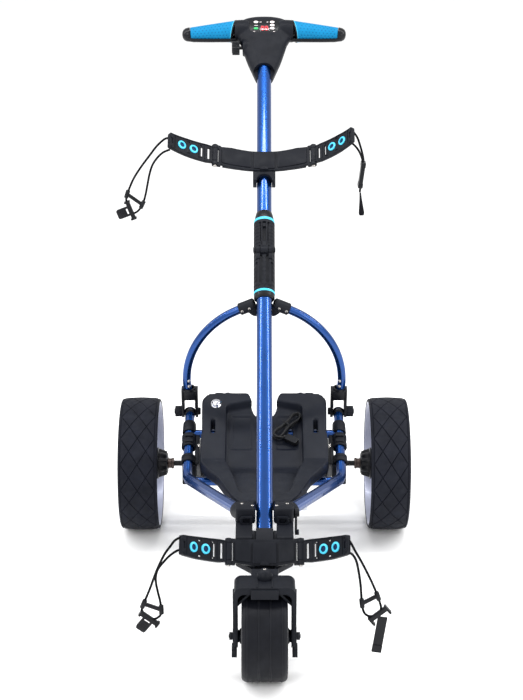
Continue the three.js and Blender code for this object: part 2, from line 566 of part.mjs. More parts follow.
// ---- front bracket, fork and wheel ----
function frontEnd() {
  const neckTop = 176;
  const neck = plate('z', [[57, -485], [57, -530], [26, -565], [26, -612], [-26, -612], [-26, -565], [-57, -530],
    [-57, -485]], neckTop - 12, neckTop);
  const railInner = MAST_RADIUS + 7.5;
  const rail = plate('x', [[-432, 224], [-432, 246], [-535, 228], [-535, neckTop - 12], [-500, neckTop - 12],
    [-500, 206]], railInner, 57);
  const knuckle = block([MAST_RADIUS + 1, FRAME_KNUCKLE_X], [FRAME_FRONT_Y - 12, FRAME_FRONT_Y + 30],
    [FRAME_FRONT_Z - 19, FRAME_FRONT_Z + 19]);
  const half = join(rail, knuckle);
  const bracket = cut(join(neck, half, forSide(half, -1)), frameBore, forSide(frameBore, -1));
  add(trolley, 'front_bracket', bracket, blackPlastic);

  const leg = FRONT_TYRE_WIDTH / 2 + 7;
  const barTop = 203;
  const web = plate('x', [[-612 - GAP, 158], [-617, 158], [-640, 174], [-652, 179], [-700, 179], [-700, barTop],
    [-612 - GAP, barTop]], -26, 26);
  const top = block([-leg - 7, leg + 7], [FRONT_AXLE_Y - 26, FRONT_AXLE_Y + 26], [barTop - 22, barTop]);
  const legPlate = plate('x', [[FRONT_AXLE_Y - 18, barTop], [FRONT_AXLE_Y + 26, barTop],
    [FRONT_AXLE_Y + 22, FRONT_AXLE_Z - 12], [FRONT_AXLE_Y, FRONT_AXLE_Z - 26], [FRONT_AXLE_Y - 18, FRONT_AXLE_Z - 12]],
  leg, leg + 7);
  const boss = bar('x', 13, leg, leg + 10, [FRONT_AXLE_Y, FRONT_AXLE_Z], 18);
  const side = join(legPlate, boss);
  const fork = cut(join(web, top, side, forSide(side, -1)),
    bar('x', 5 + GAP, -90, 90, [FRONT_AXLE_Y, FRONT_AXLE_Z], 14));
  add(trolley, 'front_fork', fork, blackPlastic);
  add(trolley, 'front_axle', join(bar('x', 5, -leg - 14, leg + 14, [FRONT_AXLE_Y, FRONT_AXLE_Z], 14),
    bar('x', 8, leg + 10 + GAP, leg + 17, [FRONT_AXLE_Y, FRONT_AXLE_Z], 6),
    bar('x', 8, -leg - 17, -leg - 10 - GAP, [FRONT_AXLE_Y, FRONT_AXLE_Z], 6)), silver);

  const wheel = new THREE.Group();
  wheel.position.set(0, FRONT_AXLE_Y, FRONT_AXLE_Z);
  trolley.add(wheel);
  const seat = FRONT_WHEEL_RADIUS - FRONT_TYRE_DEPTH;
  const wide = FRONT_TYRE_WIDTH / 2;
  add(wheel, 'front_tyre', turned([[seat, -wide + 2], [seat + 8, -wide], [FRONT_WHEEL_RADIUS - 5, -wide],
    [FRONT_WHEEL_RADIUS, -wide + 8], [FRONT_WHEEL_RADIUS, wide - 8], [FRONT_WHEEL_RADIUS - 5, wide],
    [seat + 8, wide], [seat, wide - 2]], FRONT_SEGMENTS), rubber);
  add(wheel, 'front_hub', turned([[5 + GAP, -wide - 5], [16, -wide - 5], [18, -6], [seat - 8, -6],
    [seat - 5, -wide + 3], [seat - GAP, -wide + 3], [seat - GAP, wide - 3], [seat - 5, wide - 3], [seat - 8, 6],
    [18, 6], [16, wide + 5], [5 + GAP, wide + 5]], FRONT_SEGMENTS), blackPlastic);

  const leverX = FRAME_KNUCKLE_X + GAP;
  add(trolley, 'foot_lock_lever', join(bar('x', 8, leverX, leverX + 9, [-468, FRAME_FRONT_Z], 16),
    plate('x', [[-474, FRAME_FRONT_Z - 4], [-462, FRAME_FRONT_Z - 4], [-456, FRAME_FRONT_Z - 46],
      [-466, FRAME_FRONT_Z - 48]], leverX, leverX + 5)), blackMetal);
}
frontEnd();

// ---- battery tray and what is under it ----
const LEAD_START = 138; // up the sloping floor, where the battery lead leaves its gland
const trayBreakY = BEND_Y + 8;
const trayFloor = (y) => (y < trayBreakY ? TRAY_FLOOR_Z
  : TRAY_FLOOR_Z + ((y - trayBreakY) / (TRAY_REAR_Y - trayBreakY)) * (TRAY_REAR_Z - TRAY_FLOOR_Z));

const traySlope = Math.atan2(TRAY_REAR_Z - TRAY_FLOOR_Z, TRAY_REAR_Y - trayBreakY);

function tray() {
  const ys = [TRAY_REAR_Y, trayBreakY, TRAY_FRONT_Y];
  const under = ys.map((y) => [y, trayFloor(y) - TRAY_WALL]);
  const over = (rise, front) => [[TRAY_REAR_Y, trayFloor(TRAY_REAR_Y) + rise],
    [trayBreakY, trayFloor(trayBreakY) + rise], [front, TRAY_FLOOR_Z + rise * 0.8]];
  const side = (rise) => plate('x', [...under, ...over(rise, TRAY_FRONT_Y).reverse()], -TRAY_HALF_WIDTH,
    TRAY_HALF_WIDTH);
  const pocketFront = TRAY_FRONT_Y + 34;
  const pocket = plate('x', [...[TRAY_REAR_Y + 20, trayBreakY, pocketFront].map((y) => [y, trayFloor(y)]),
    [pocketFront, 400], [TRAY_REAR_Y + 20, 400]], -POCKET_HALF_WIDTH, POCKET_HALF_WIDTH);
  const frontHalf = FRAME_FRONT_X + 26;
  const plan = plate('z', [[TRAY_HALF_WIDTH - 10, TRAY_REAR_Y], [TRAY_HALF_WIDTH, TRAY_REAR_Y - 10],
    [TRAY_HALF_WIDTH, BEND_Y + 6], [TRAY_HALF_WIDTH - 38, BEND_Y - 68], [frontHalf, TRAY_FRONT_Y + 22],
    [frontHalf - 18, TRAY_FRONT_Y], [-frontHalf + 18, TRAY_FRONT_Y], [-frontHalf, TRAY_FRONT_Y + 22],
    [-TRAY_HALF_WIDTH + 38, BEND_Y - 68], [-TRAY_HALF_WIDTH, BEND_Y + 6], [-TRAY_HALF_WIDTH, TRAY_REAR_Y - 10],
    [-TRAY_HALF_WIDTH + 10, TRAY_REAR_Y]], 100, 400);
  const notch = plate('z', [[-30, TRAY_REAR_Y + 5], [-22, TRAY_REAR_Y - 34], [22, TRAY_REAR_Y - 34],
    [30, TRAY_REAR_Y + 5]], 100, 400);
  const groove = block([-14, 14], [TRAY_FRONT_Y - 5, pocketFront + 5], [TRAY_FLOOR_Z + 4, 400]);
  const strapSlot = (x) => block([x - 5, x + 5], [-128, -92], [200, 400]);
  const open = cut(common(side(TRAY_RIM), plan), pocket, notch, groove, strapSlot(112), strapSlot(-112));
  const gland = block([-2, 12], [LEAD_START, LEAD_START + 9], [-2, 8]);
  gland.rotateX(traySlope).translate(0, trayBreakY, TRAY_FLOOR_Z);
  add(trolley, 'battery_tray', join(open, gland), blackPlastic);
  const top = TRAY_FLOOR_Z - TRAY_WALL - GAP;
  add(trolley, 'controller_box', block([46, 90], [-318, -218], [top - 34, top]), silver);
}
tray();

// ---- battery lead, on the tray's sloping floor: X across, Y up the slope, Z off the floor ----
const LEAD_TAIL = [[5, 137.5, 3.4], [5, 133, 3.1], [5, 126, 3], [5, 118, 3], [5, 110, 3], [5.5, 103, 3],
  [7, 97, 3], [9.5, 92, 3], [13, 88.5, 3], [17.4, 87, 3]];
const HANK = { length: 84, width: 26, height: 12, at: [50, 112], turn: 50 };
const PLUG = { length: 30, width: 16, height: 11, at: [58.6, 74], turn: -32 };

function sweptCord(points, radius, steps) {
  return swept(new THREE.CatmullRomCurve3(points.map(vector)), radius, steps, 0, 8);
}

function batteryLead() {
  const floor = new THREE.Group();
  floor.position.set(0, trayBreakY, TRAY_FLOOR_Z);
  floor.rotation.x = traySlope;
  trolley.add(floor);
  const end = HANK.width / 2;
  const shape = new THREE.Shape();
  shape.absarc(HANK.length / 2 - end, 0, end, -Math.PI / 2, Math.PI / 2);
  shape.absarc(-HANK.length / 2 + end, 0, end, Math.PI / 2, (3 * Math.PI) / 2);
  const hank = plate('z', shape, GAP, HANK.height).rotateZ(radians(HANK.turn)).translate(...HANK.at, 0);
  add(floor, 'battery_lead_hank', hank, elastic);
  add(floor, 'battery_lead_tail', sweptCord(LEAD_TAIL, LEAD_RADIUS, 10), elastic);
  const plug = block([-PLUG.length / 2, PLUG.length / 2], [-PLUG.width / 2, PLUG.width / 2], [GAP, PLUG.height]);
  add(floor, 'battery_plug', plug.rotateZ(radians(PLUG.turn)).translate(...PLUG.at, 0), blackPlastic);
}
batteryLead();

// ---- elastic cords and their hooks ----
const CORDS = {
  upper_cord_left: [[-214, 103, 881], [-222, 98, 883], [-233, 88, 878], [-247, 87, 858], [-262, 87, 832],
    [-278, 87, 804], [-292, 87, 779], [-303, 87, 760], [-309, 87, 744], [-305, 87, 732], [-294, 87, 728],
    [-283, 87, 735], [-275, 87, 750], [-267, 87, 772], [-259, 87, 798], [-249, 87, 820], [-237, 88, 840],
    [-226, 88, 857], [-214, 87, 867]],
  upper_cord_right: [[199, 88, 898], [203, 89, 896], [208, 93, 887], [214, 97, 870], [220, 99, 848],
    [222, 100, 824], [220, 100, 802], [216, 100, 784], [212, 100, 770], [207, 100, 764], [203, 100, 772],
    [202, 100, 790], [203, 100, 812], [204, 98, 834], [203, 90, 852], [202, 81, 868], [199, 73, 883]],
  lower_cord_left: [[-166, -618, 266], [-171, -622, 267], [-179, -627, 258], [-190, -628, 240], [-201, -628, 217],
    [-210, -628, 194], [-219, -628, 168], [-228, -628, 145], [-236, -628, 124], [-236, -628, 112],
    [-228, -628, 104], [-216, -628, 100], [-205, -628, 104], [-199, -628, 115], [-201, -623, 135],
    [-206, -620, 158], [-209, -620, 182], [-205, -621, 202], [-194, -623, 219], [-180, -626, 234],
    [-166, -631, 247]],
  lower_cord_right: [[166, -618, 266], [169, -622, 262], [171, -628, 250], [182, -628, 228], [193, -628, 206],
    [205, -628, 180], [214, -628, 158], [221, -628, 138], [224, -628, 124], [221, -628, 113], [211, -628, 107],
    [200, -628, 107], [192, -628, 114], [188, -626, 128], [186, -623, 148], [184, -621, 172], [180, -620, 198],
    [176, -623, 222], [172, -627, 238], [166, -631, 247]],
};
const HOOKS = {
  upper_hook_left: { at: [-297, 87, 712], turn: 22 },
  upper_hook_right: { at: [208, 100, 744], turn: -4 },
  lower_hook_left: { at: [-221, -628, 84], turn: 12 },
  lower_hook_right: { at: [209, -628, 91], turn: -14 },
};

function cords() {
  for (const [name, points] of Object.entries(CORDS)) {
    add(trolley, name, sweptCord(points, CORD_RADIUS, 28), elastic);
  }
  const hook = plate('y', [[-16, 10], [16, 10], [16, 2], [7, -2], [7, -24], [-7, -24], [-7, -2], [-16, 2]], -3, 3);
  for (const [name, { at, turn }] of Object.entries(HOOKS)) {
    const placed = hook.clone().rotateY(radians(turn)).translate(...at);
    add(trolley, name, placed, blackPlastic);
  }
}
cords();

// Cords and what is on them are left out of the box that the origin is worked out from.
function centreTrolley() {
  trolley.updateMatrixWorld(true);
  const box = new THREE.Box3();
  trolley.traverse((piece) => {
    if (piece.isMesh && !/cord|hook|lead|plug/.test(piece.name)) box.expandByObject(piece, true);
  });
  const middle = box.getCenter(new THREE.Vector3());
  trolley.position.set(-middle.x, -middle.y, -box.min.z);
}
centreTrolley();

export default trolley;
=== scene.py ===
"""Three-wheeled electric golf trolley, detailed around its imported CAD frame.

Shapes are made in millimetres in the axle frame: X across, Y back from the rear
axle, Z up from the ground. TO_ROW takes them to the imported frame, in metres.
"""
from math import asin, atan2, cos, degrees, hypot, pi, radians, sin

import bmesh
import bpy
from mathutils import Matrix, Vector


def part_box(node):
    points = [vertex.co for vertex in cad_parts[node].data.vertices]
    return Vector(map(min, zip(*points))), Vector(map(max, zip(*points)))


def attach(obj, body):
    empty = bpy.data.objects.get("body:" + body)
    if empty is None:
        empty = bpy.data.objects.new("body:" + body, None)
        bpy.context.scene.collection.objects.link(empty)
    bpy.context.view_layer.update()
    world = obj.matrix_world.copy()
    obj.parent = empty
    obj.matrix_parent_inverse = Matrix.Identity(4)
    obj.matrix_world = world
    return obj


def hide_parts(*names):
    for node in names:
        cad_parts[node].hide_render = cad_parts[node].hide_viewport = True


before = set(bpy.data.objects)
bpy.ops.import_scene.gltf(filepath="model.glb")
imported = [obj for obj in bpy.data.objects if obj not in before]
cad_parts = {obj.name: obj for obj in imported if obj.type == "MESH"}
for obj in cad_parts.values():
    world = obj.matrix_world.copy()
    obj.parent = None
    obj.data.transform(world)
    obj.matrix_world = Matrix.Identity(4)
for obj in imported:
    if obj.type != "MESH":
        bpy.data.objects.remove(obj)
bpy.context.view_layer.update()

scene = bpy.context.scene
scene.view_settings.view_transform = "Standard"
scene.view_settings.look = "None"

# ---- frames ----
tyre_low, tyre_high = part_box("rear_tyre_right")
AXLE_Y = 500 * (tyre_low.y + tyre_high.y)
TO_ROW = Matrix.Scale(0.001, 4) @ Matrix.Translation((0, AXLE_Y, 0))


def turn(axis, angle):
    return Matrix.Rotation(radians(angle), 4, axis)


def at(x=0.0, y=0.0, z=0.0):
    return Matrix.Translation((x, y, z))


MAST_ANGLE = 41.2
MAST = at(0, -453, 260) @ turn("X", MAST_ANGLE - 90)
MAST_RADIUS = 16.5
MAST_WALL = 1.8
MAST_BORE = 16.8  # what slides over the mast
EYELETS = (52, 82)  # along an arm
FOLD = 588
PIVOT = (165, -30, 290)
ARCH_TOP = MAST @ Vector((0, 28, 463))
ARCH_LEAN = degrees(atan2(PIVOT[1] - ARCH_TOP.y, ARCH_TOP.z - PIVOT[2]))
ARCH_HEIGHT = hypot(ARCH_TOP.y - PIVOT[1], ARCH_TOP.z - PIVOT[2])
ARCH = at(0, PIVOT[1], PIVOT[2]) @ turn("X", ARCH_LEAN)
TRAY_BREAK_Y = -195
TRAY_SLOPE = degrees(atan2(311 - 225, -31 - TRAY_BREAK_Y))
SLOPE = at(0, TRAY_BREAK_Y, 225) @ turn("X", TRAY_SLOPE)
AXLE_Z = 150
UPPER = MAST @ at(0, -25, 818)
LOWER = MAST @ at(0, -30.6, -115) @ turn("X", 10.8)
UP_X = turn("Y", 90)  # a shape made along Z, laid along +X
FACE_FRONT = turn("X", 90)  # a flat shape in XY, stood up to face the front
STAND_X = Matrix(((0, 0, 1, 0), (1, 0, 0, 0), (0, 1, 0, 0),
                  (0, 0, 0, 1)))  # [y, z] outlines, thick along X


# ---- materials ----
def srgb(*values):
    parts = [v / 255 for v in values]
    return [p / 12.92 if p <= 0.04045 else ((p + 0.055) / 1.055) ** 2.4 for p in parts] + [1]


def material(name, colour, roughness, metallic=0.0, coat=0.0, grain=0.0006, depth=0.00004,
             patch=0.05, variation=0.12, wear=0.0, specular=0.5, glow=0.0, weave=None):
    made = bpy.data.materials.new(name)
    made.use_nodes = True
    nodes, link = made.node_tree.nodes, made.node_tree.links.new
    shader = nodes["Principled BSDF"]
    shader.inputs["Metallic"].default_value = metallic
    shader.inputs["Coat Weight"].default_value = coat
    shader.inputs["Coat Roughness"].default_value = 0.08
    shader.inputs["Specular IOR Level"].default_value = specular
    place = nodes.new("ShaderNodeTexCoord")

    def noise(size, detail):
        node = nodes.new("ShaderNodeTexNoise")
        node.inputs["Scale"].default_value = 1 / size
        node.inputs["Detail"].default_value = detail
        link(place.outputs["Object"], node.inputs["Vector"])
        return node.outputs["Fac"]

    def ranged(value, low, high, start=0.3, end=0.7):
        node = nodes.new("ShaderNodeMapRange")
        for key, number in zip(("From Min", "From Max", "To Min", "To Max"),
                               (start, end, low, high)):
            node.inputs[key].default_value = number
        link(value, node.inputs["Value"])
        return node.outputs["Result"]

    def mixed(factor, first, second):
        node = nodes.new("ShaderNodeMix")
        node.data_type = "RGBA"
        link(factor, node.inputs["Factor"])
        for socket, value in ((node.inputs[6], first), (node.inputs[7], second)):
            if isinstance(value, list):
                socket.default_value = value
            else:
                link(value, socket)
        return node.outputs[2]

    base = srgb(*colour)
    dark = [c * (1 - variation) for c in base[:3]] + [1]
    light = [min(1, c * (1 + variation) + 0.002) for c in base[:3]] + [1]
    cloud = noise(patch, 4)
    tint = mixed(ranged(cloud, 0, 1), dark, light)
    if weave:
        bands = nodes.new("ShaderNodeTexWave")
        bands.wave_type = "BANDS"
        bands.bands_direction = "DIAGONAL"
        bands.inputs["Scale"].default_value = 1 / weave
        bands.inputs["Distortion"].default_value = 0.6
        link(place.outputs["Object"], bands.inputs["Vector"])
        tint = mixed(ranged(bands.outputs["Fac"], 0, 0.45, 0.4, 1), tint,
                     [c * 0.35 for c in base[:3]] + [1])
    if wear:
        edges = nodes.new("ShaderNodeNewGeometry")
        rubbed = [min(1, c * 1.6 + 0.03) for c in base[:3]] + [1]
        tint = mixed(ranged(edges.outputs["Pointiness"], 0, wear, 0.51, 0.6), tint, rubbed)
    link(tint, shader.inputs["Base Color"])
    link(ranged(noise(patch * 0.4, 3), roughness * 0.88, min(1, roughness * 1.14)),
         shader.inputs["Roughness"])
    if glow:
        shader.inputs["Emission Color"].default_value = base
        shader.inputs["Emission Strength"].default_value = glow
    bump = nodes.new("ShaderNodeBump")
    bump.inputs["Strength"].default_value = 0.7
    bump.inputs["Distance"].default_value = depth
    height = bands.outputs["Fac"] if weave else noise(grain, 2)
    link(height, bump.inputs["Height"])
    link(bump.outputs["Normal"], shader.inputs["Normal"])
    return made


BLUE = material("anodised_blue", (0, 60, 128), 0.28, 0.9, 0.6, 0.004, 0.0, 0.12, 0.04, 0, 0.5)
PLASTIC = material("black_moulded_plastic", (11, 14, 22), 0.5, 0, 0, 0.0007, 0.00003, 0.04, 0.14,
                   0.1, 0.14)
GLOSS = material("smooth_black_plastic", (7, 9, 15), 0.32, 0, 0.03, 0.002, 0.00001, 0.05, 0.12,
                 0.08, 0.2)
TRAY = material("tray_grained_plastic", (15, 19, 29), 0.45, 0, 0, 0.0011, 0.00005, 0.06, 0.12, 0.1,
                0.16)
METAL = material("black_coated_metal", (16, 18, 24), 0.4, 0.3, 0, 0.0012, 0.00003, 0.05, 0.15, 0.15,
                 0.2)
STEEL = material("zinc_plated_steel", (176, 172, 168), 0.27, 0.95, 0, 0.0009, 0.00002, 0.02, 0.14)
BRASS = material("bronze_bush", (84, 72, 68), 0.45, 0.7, 0, 0.0009, 0.00002, 0.02, 0.2)
CHROME = material("chrome", (214, 214, 220), 0.07, 1.0, 0, 0.003, 0.000005, 0.05, 0.05)
RIM = material("silver_painted_rim", (158, 162, 182), 0.36, 0.3, 0.15, 0.0008, 0.00002, 0.05, 0.06)
TYRE = material("dusty_rubber", (13, 16, 26), 0.7, 0, 0, 0.0009, 0.00009, 0.025, 0.22, 0.3, 0.16)
FRONT_TYRE = material("front_rubber", (9, 11, 18), 0.5, 0, 0, 0.001, 0.00008, 0.03, 0.2, 0.25, 0.14)
GRIP = material("turquoise_grip", (0, 116, 164), 0.55, 0, 0, 0.0006, 0.00005, 0.03, 0.06, 0, 0.15)
AQUA = material("turquoise_ring", (70, 192, 226), 0.35, 0, 0.1, 0.002, 0.00001, 0.03, 0.06, 0, 0.3)
DEEP = material("deep_blue_eye", (0, 34, 74), 0.4, 0, 0, 0.001, 0.00002, 0.02, 0.2, 0, 0.2)
WHITE = material("button_white", (240, 230, 230), 0.35, 0, 0.2, 0.001, 0.00001, 0.01, 0.05)
GREEN = material("button_green", (40, 176, 96), 0.35, 0, 0.2, 0.001, 0.00001, 0.01, 0.06)
RED = material("display_red", (230, 44, 58), 0.4, 0, 0, 0.001, 0.00001, 0.01, 0.05, glow=0.6)
GLASS = material("display_window", (24, 14, 20), 0.12, 0, 0.6, 0.003, 0.000004, 0.02, 0.1)
CASE = material("controller_silver", (196, 200, 208), 0.3, 0.8, 0, 0.0008, 0.00002, 0.04, 0.1)
CORD = material("elastic_cord_sheath", (7, 8, 13), 0.75, 0, 0, 0.0008, 0.0002, 0.02, 0.15,
                specular=0.12, weave=0.0022)
LEAD = material("lead_jacket", (5, 6, 10), 0.4, 0, 0, 0.001, 0.00004, 0.02, 0.15, specular=0.25)
STRAP = material("strap_webbing", (9, 11, 17), 0.8, 0, 0, 0.0008, 0.00025, 0.02, 0.15,
                 specular=0.12, weave=0.003)


# ---- mesh making ----
def circle(radius, count=32, start=0.0):
    return [(radius * cos(start + 2 * pi * i / count), radius * sin(start + 2 * pi * i / count))
            for i in range(count)]


def lobed(radius, wave, lobes, per=8, sharp=1.0):
    count = lobes * per
    points = []
    for i in range(count):
        swing = cos(2 * pi * i / per)
        reach = radius + wave * (abs(swing) ** sharp) * (1 if swing > 0 else -1)
        points.append((reach * cos(2 * pi * i / count), reach * sin(2 * pi * i / count)))
    return points


def rounded(points, radius, steps=4):
    """A closed outline with each corner rounded."""
    result = []
    count = len(points)
    for i, corner in enumerate(points):
        here = Vector(corner)
        back, on = Vector(points[i - 1]) - here, Vector(points[(i + 1) % count]) - here
        reach = min(radius, 0.45 * back.length, 0.45 * on.length)
        first, last = here + back.normalized() * reach, here + on.normalized() * reach
        for k in range(steps + 1):
            t = k / steps
            result.append(tuple(first * (1 - t) ** 2 + here * 2 * t * (1 - t) + last * t * t))
    return result


def rectangle(x0, x1, y0, y1):
    return [(x0, y0), (x1, y0), (x1, y1), (x0, y1)]


def tidied(bm):
    bmesh.ops.remove_doubles(bm, verts=bm.verts, dist=0.002)
    bmesh.ops.recalc_face_normals(bm, faces=bm.faces)
    return bm


def bevelled(bm, edges, width, steps=2):
    if width > 0 and edges:
        bmesh.ops.bevel(bm, geom=edges, offset=width, segments=steps, profile=0.5, affect="EDGES",
                        clamp_overlap=True)
    return bm


def skin(rings, closed=False, caps=True):
    """Faces between rings of points; a ring of one point is an apex."""
    bm = bmesh.new()
    rows = [[bm.verts.new(p) for p in ring] for ring in rings]
    pairs = list(zip(rows, rows[1:])) + ([(rows[-1], rows[0])] if closed else [])
    for a, b in pairs:
        for i in range(max(len(a), len(b))):
            j = i + 1
            corners = [a[i % len(a)], a[j % len(a)], b[j % len(b)], b[i % len(b)]]
            corners = list(dict.fromkeys(corners))
            if len(corners) > 2:
                bm.faces.new(corners)
    if caps and not closed:
        for row in (rows[0], rows[-1]):
            if len(row) > 2:
                bm.faces.new(row)
    return tidied(bm)


def lathe(profile, segments=40, closed=False):
    """[radius, height] points turned about Z."""
    return skin([[(r * x, r * y, z) for x, y in circle(1, segments)] if r > 1e-4 else [(0, 0, z)]
                 for r, z in profile], closed)


def ring_lathe(profile, segments=40):
    return lathe(profile, segments, closed=True)


def rod(radius, from_z, to_z, edge=0.6, segments=28):
    return lathe([(0, from_z), (radius - edge, from_z), (radius, from_z + edge),
                  (radius, to_z - edge),
                  (radius - edge, to_z), (0, to_z)], segments)


def slab(outline, low, high, bevel=0.8, holes=(), steps=2):
    """A flat outline with holes, thick along Z, with rounded rims."""
    flat = bmesh.new()
    loops = [[flat.verts.new((u, v, 0)) for u, v in loop] for loop in [outline, *holes]]
    edges = [flat.edges.new(pair) for loop in loops for pair in zip(loop, loop[1:] + loop[:1])]
    bmesh.ops.triangle_fill(flat, use_beauty=True, edges=edges)
    flat.verts.index_update()
    faces = [[v.index for v in f.verts] for f in flat.faces]
    bm = bmesh.new()
    sides = [[bm.verts.new((v.co.x, v.co.y, z)) for v in flat.verts] for z in (low, high)]
    for face in faces:
        for side in sides:
            bm.faces.new([side[i] for i in face])
    rims = []
    for loop in loops:
        index = [v.index for v in loop]
        for i, j in zip(index, index[1:] + index[:1]):
            bm.faces.new([sides[0][i], sides[0][j], sides[1][j], sides[1][i]])
            rims += [bm.edges.get((side[i], side[j])) for side in sides]
    flat.free()
    bmesh.ops.recalc_face_normals(bm, faces=bm.faces)
    return bevelled(bm, rims, bevel, steps)


def box(x, y, z, bevel=1.0, steps=2):
    bm = slab(rectangle(x[0], x[1], y[0], y[1]), z[0], z[1], 0)
    bmesh.ops.dissolve_limit(bm, angle_limit=0.01, verts=bm.verts, edges=bm.edges)
    return bevelled(bm, bm.edges[:], bevel, steps)


def sweep(path, section, grow=None, side=(1, 0, 0)):
    """A closed section carried along a path without twisting."""
    points = [Vector(p) for p in path]
    rings = []
    across = Vector(side)
    for i, p in enumerate(points):
        along = (points[min(i + 1, len(points) - 1)] - points[max(i - 1, 0)]).normalized()
        across = (across - along * across.dot(along)).normalized()
        up = along.cross(across)
        size = grow(i / (len(points) - 1)) if grow else 1
        rings.append([p + across * u * size + up * v * size for u, v in section])
    return skin(rings)


def smooth_path(points, steps=6):
    """A curve through every point."""
    given = [Vector(p) for p in points]
    ends = [2 * given[0] - given[1], *given, 2 * given[-1] - given[-2]]
    result = []
    for a, b, c, d in zip(ends, ends[1:], ends[2:], ends[3:]):
        for k in range(steps):
            t = k / steps
            result.append(0.5 * (2 * b + (c - a) * t + (2 * a - 5 * b + 4 * c - d) * t ** 2
                                 + (3 * b - a - 3 * c + d) * t ** 3))
    return result + [given[-1]]


def bent(start, corner, end, radius, steps=14):
    a, b, c = Vector(start), Vector(corner), Vector(end)
    back, on = (a - b).normalized(), (c - b).normalized()
    reach = radius / (sin(back.angle(on) / 2) / cos(back.angle(on) / 2))
    first, last = b + back * reach, b + on * reach
    turned = [first * (1 - t) ** 2 + b * 2 * t * (1 - t) + last * t * t
              for t in (k / steps for k in range(steps + 1))]
    return [a, a.lerp(first, 0.5), *turned, last.lerp(c, 0.5), c]


def sliced(bm, places, axis=0):
    """Cut across at each place, so that the mesh can bend there."""
    normal = Vector([1 if i == axis else 0 for i in range(3)])
    for place in places:
        everything = bm.verts[:] + bm.edges[:] + bm.faces[:]
        bmesh.ops.bisect_plane(bm, geom=everything, plane_co=normal * place, plane_no=normal)
    return bm


def warped(bm, move):
    for v in bm.verts:
        v.co = move(v.co)
    bmesh.ops.recalc_face_normals(bm, faces=bm.faces)
    return bm


def placed(bm, *matrices):
    for matrix in reversed(matrices):
        bm.transform(matrix)
    bmesh.ops.recalc_face_normals(bm, faces=bm.faces)
    return bm


def merged(*parts):
    whole = bmesh.new()
    for part in parts:
        mesh = bpy.data.meshes.new("part")
        part.to_mesh(mesh)
        part.free()
        whole.from_mesh(mesh)
        bpy.data.meshes.remove(mesh)
    return whole


def evaluated(bm, *modifiers):
    """The mesh after some modifiers, given as (type, settings)."""
    mesh = bpy.data.meshes.new("work")
    bm.to_mesh(mesh)
    bm.free()
    work = bpy.data.objects.new("work", mesh)
    scene.collection.objects.link(work)
    for kind, settings in modifiers:
        modifier = work.modifiers.new(kind, kind)
        for key, value in settings.items():
            setattr(modifier, key, value)
    result = bpy.data.meshes.new_from_object(work.evaluated_get(bpy.context.evaluated_depsgraph_get()))
    done = bmesh.new()
    done.from_mesh(result)
    bpy.data.objects.remove(work)
    bpy.data.meshes.remove(result)
    bpy.data.meshes.remove(mesh)
    return done


def carved(bm, *tools, operation="DIFFERENCE"):
    others = []
    for tool in tools:
        mesh = bpy.data.meshes.new("tool")
        tool.to_mesh(mesh)
        tool.free()
        other = bpy.data.objects.new("tool", mesh)
        scene.collection.objects.link(other)
        others.append(other)
    settings = [("BOOLEAN", {"operation": operation, "object": o,
                             "solver": "EXACT"}) for o in others]
    done = evaluated(bm, *settings)
    for other in others:
        mesh = other.data
        bpy.data.objects.remove(other)
        bpy.data.meshes.remove(mesh)
    return done


def moulded(bm, voxel, passes, strength=0.5):
    """Remeshed as one skin, with its corners softened."""
    return evaluated(bm, ("REMESH", {"mode": "VOXEL", "voxel_size": voxel}),
                     ("SMOOTH", {"factor": strength, "iterations": passes}))


def edged(bm, width, angle=35, steps=2):
    return evaluated(bm, ("BEVEL", {"width": width, "segments": steps, "limit_method": "ANGLE",
                                    "angle_limit": radians(angle), "loop_slide": False}))


def piece(name, finish, body, parts, nodes=(), angle=32):
    """One visible object from meshes in the axle frame, riding on a body."""
    whole = merged(*parts)
    whole.transform(TO_ROW)
    mesh = bpy.data.meshes.new(name)
    whole.to_mesh(mesh)
    whole.free()
    mesh.materials.append(finish)
    mesh.polygons.foreach_set("use_smooth", [True] * len(mesh.polygons))
    mesh.set_sharp_from_angle(angle=radians(angle))
    made = bpy.data.objects.new(name, mesh)
    scene.collection.objects.link(made)
    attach(made, body)
    if nodes:
        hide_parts(*nodes)
    return made


SIDES = (("left", -1), ("right", 1))


def mirror(side):
    return Matrix.Diagonal((side, 1, 1, 1))


def screw(radius=3.2, height=1.8, socket=True):
    """A small domed screw head standing on Z = 0, with a round socket recess."""
    dome = [(0, height), (radius * 0.45, height * 0.97), (radius * 0.8, height * 0.75),
            (radius, height * 0.25),
            (radius, -1.2), (0, -1.2)]
    if socket:
        inside = radius * 0.42
        dome = [(0, height - 1.1), (inside, height - 1.1), (inside + 0.1, height * 0.96), *dome[2:]]
    return lathe(dome, 20)


# ---- camera ----
lens = bpy.data.cameras.new("camera")
lens.lens = 85
lens.sensor_fit = "VERTICAL"
lens.sensor_height = 36
lens.clip_end = 60
camera = bpy.data.objects.new("camera", lens)
camera.location = TO_ROW @ Vector((-6, -3448, 1679))
camera.rotation_euler = (radians(70), 0, 0)
scene.collection.objects.link(camera)
scene.camera = camera


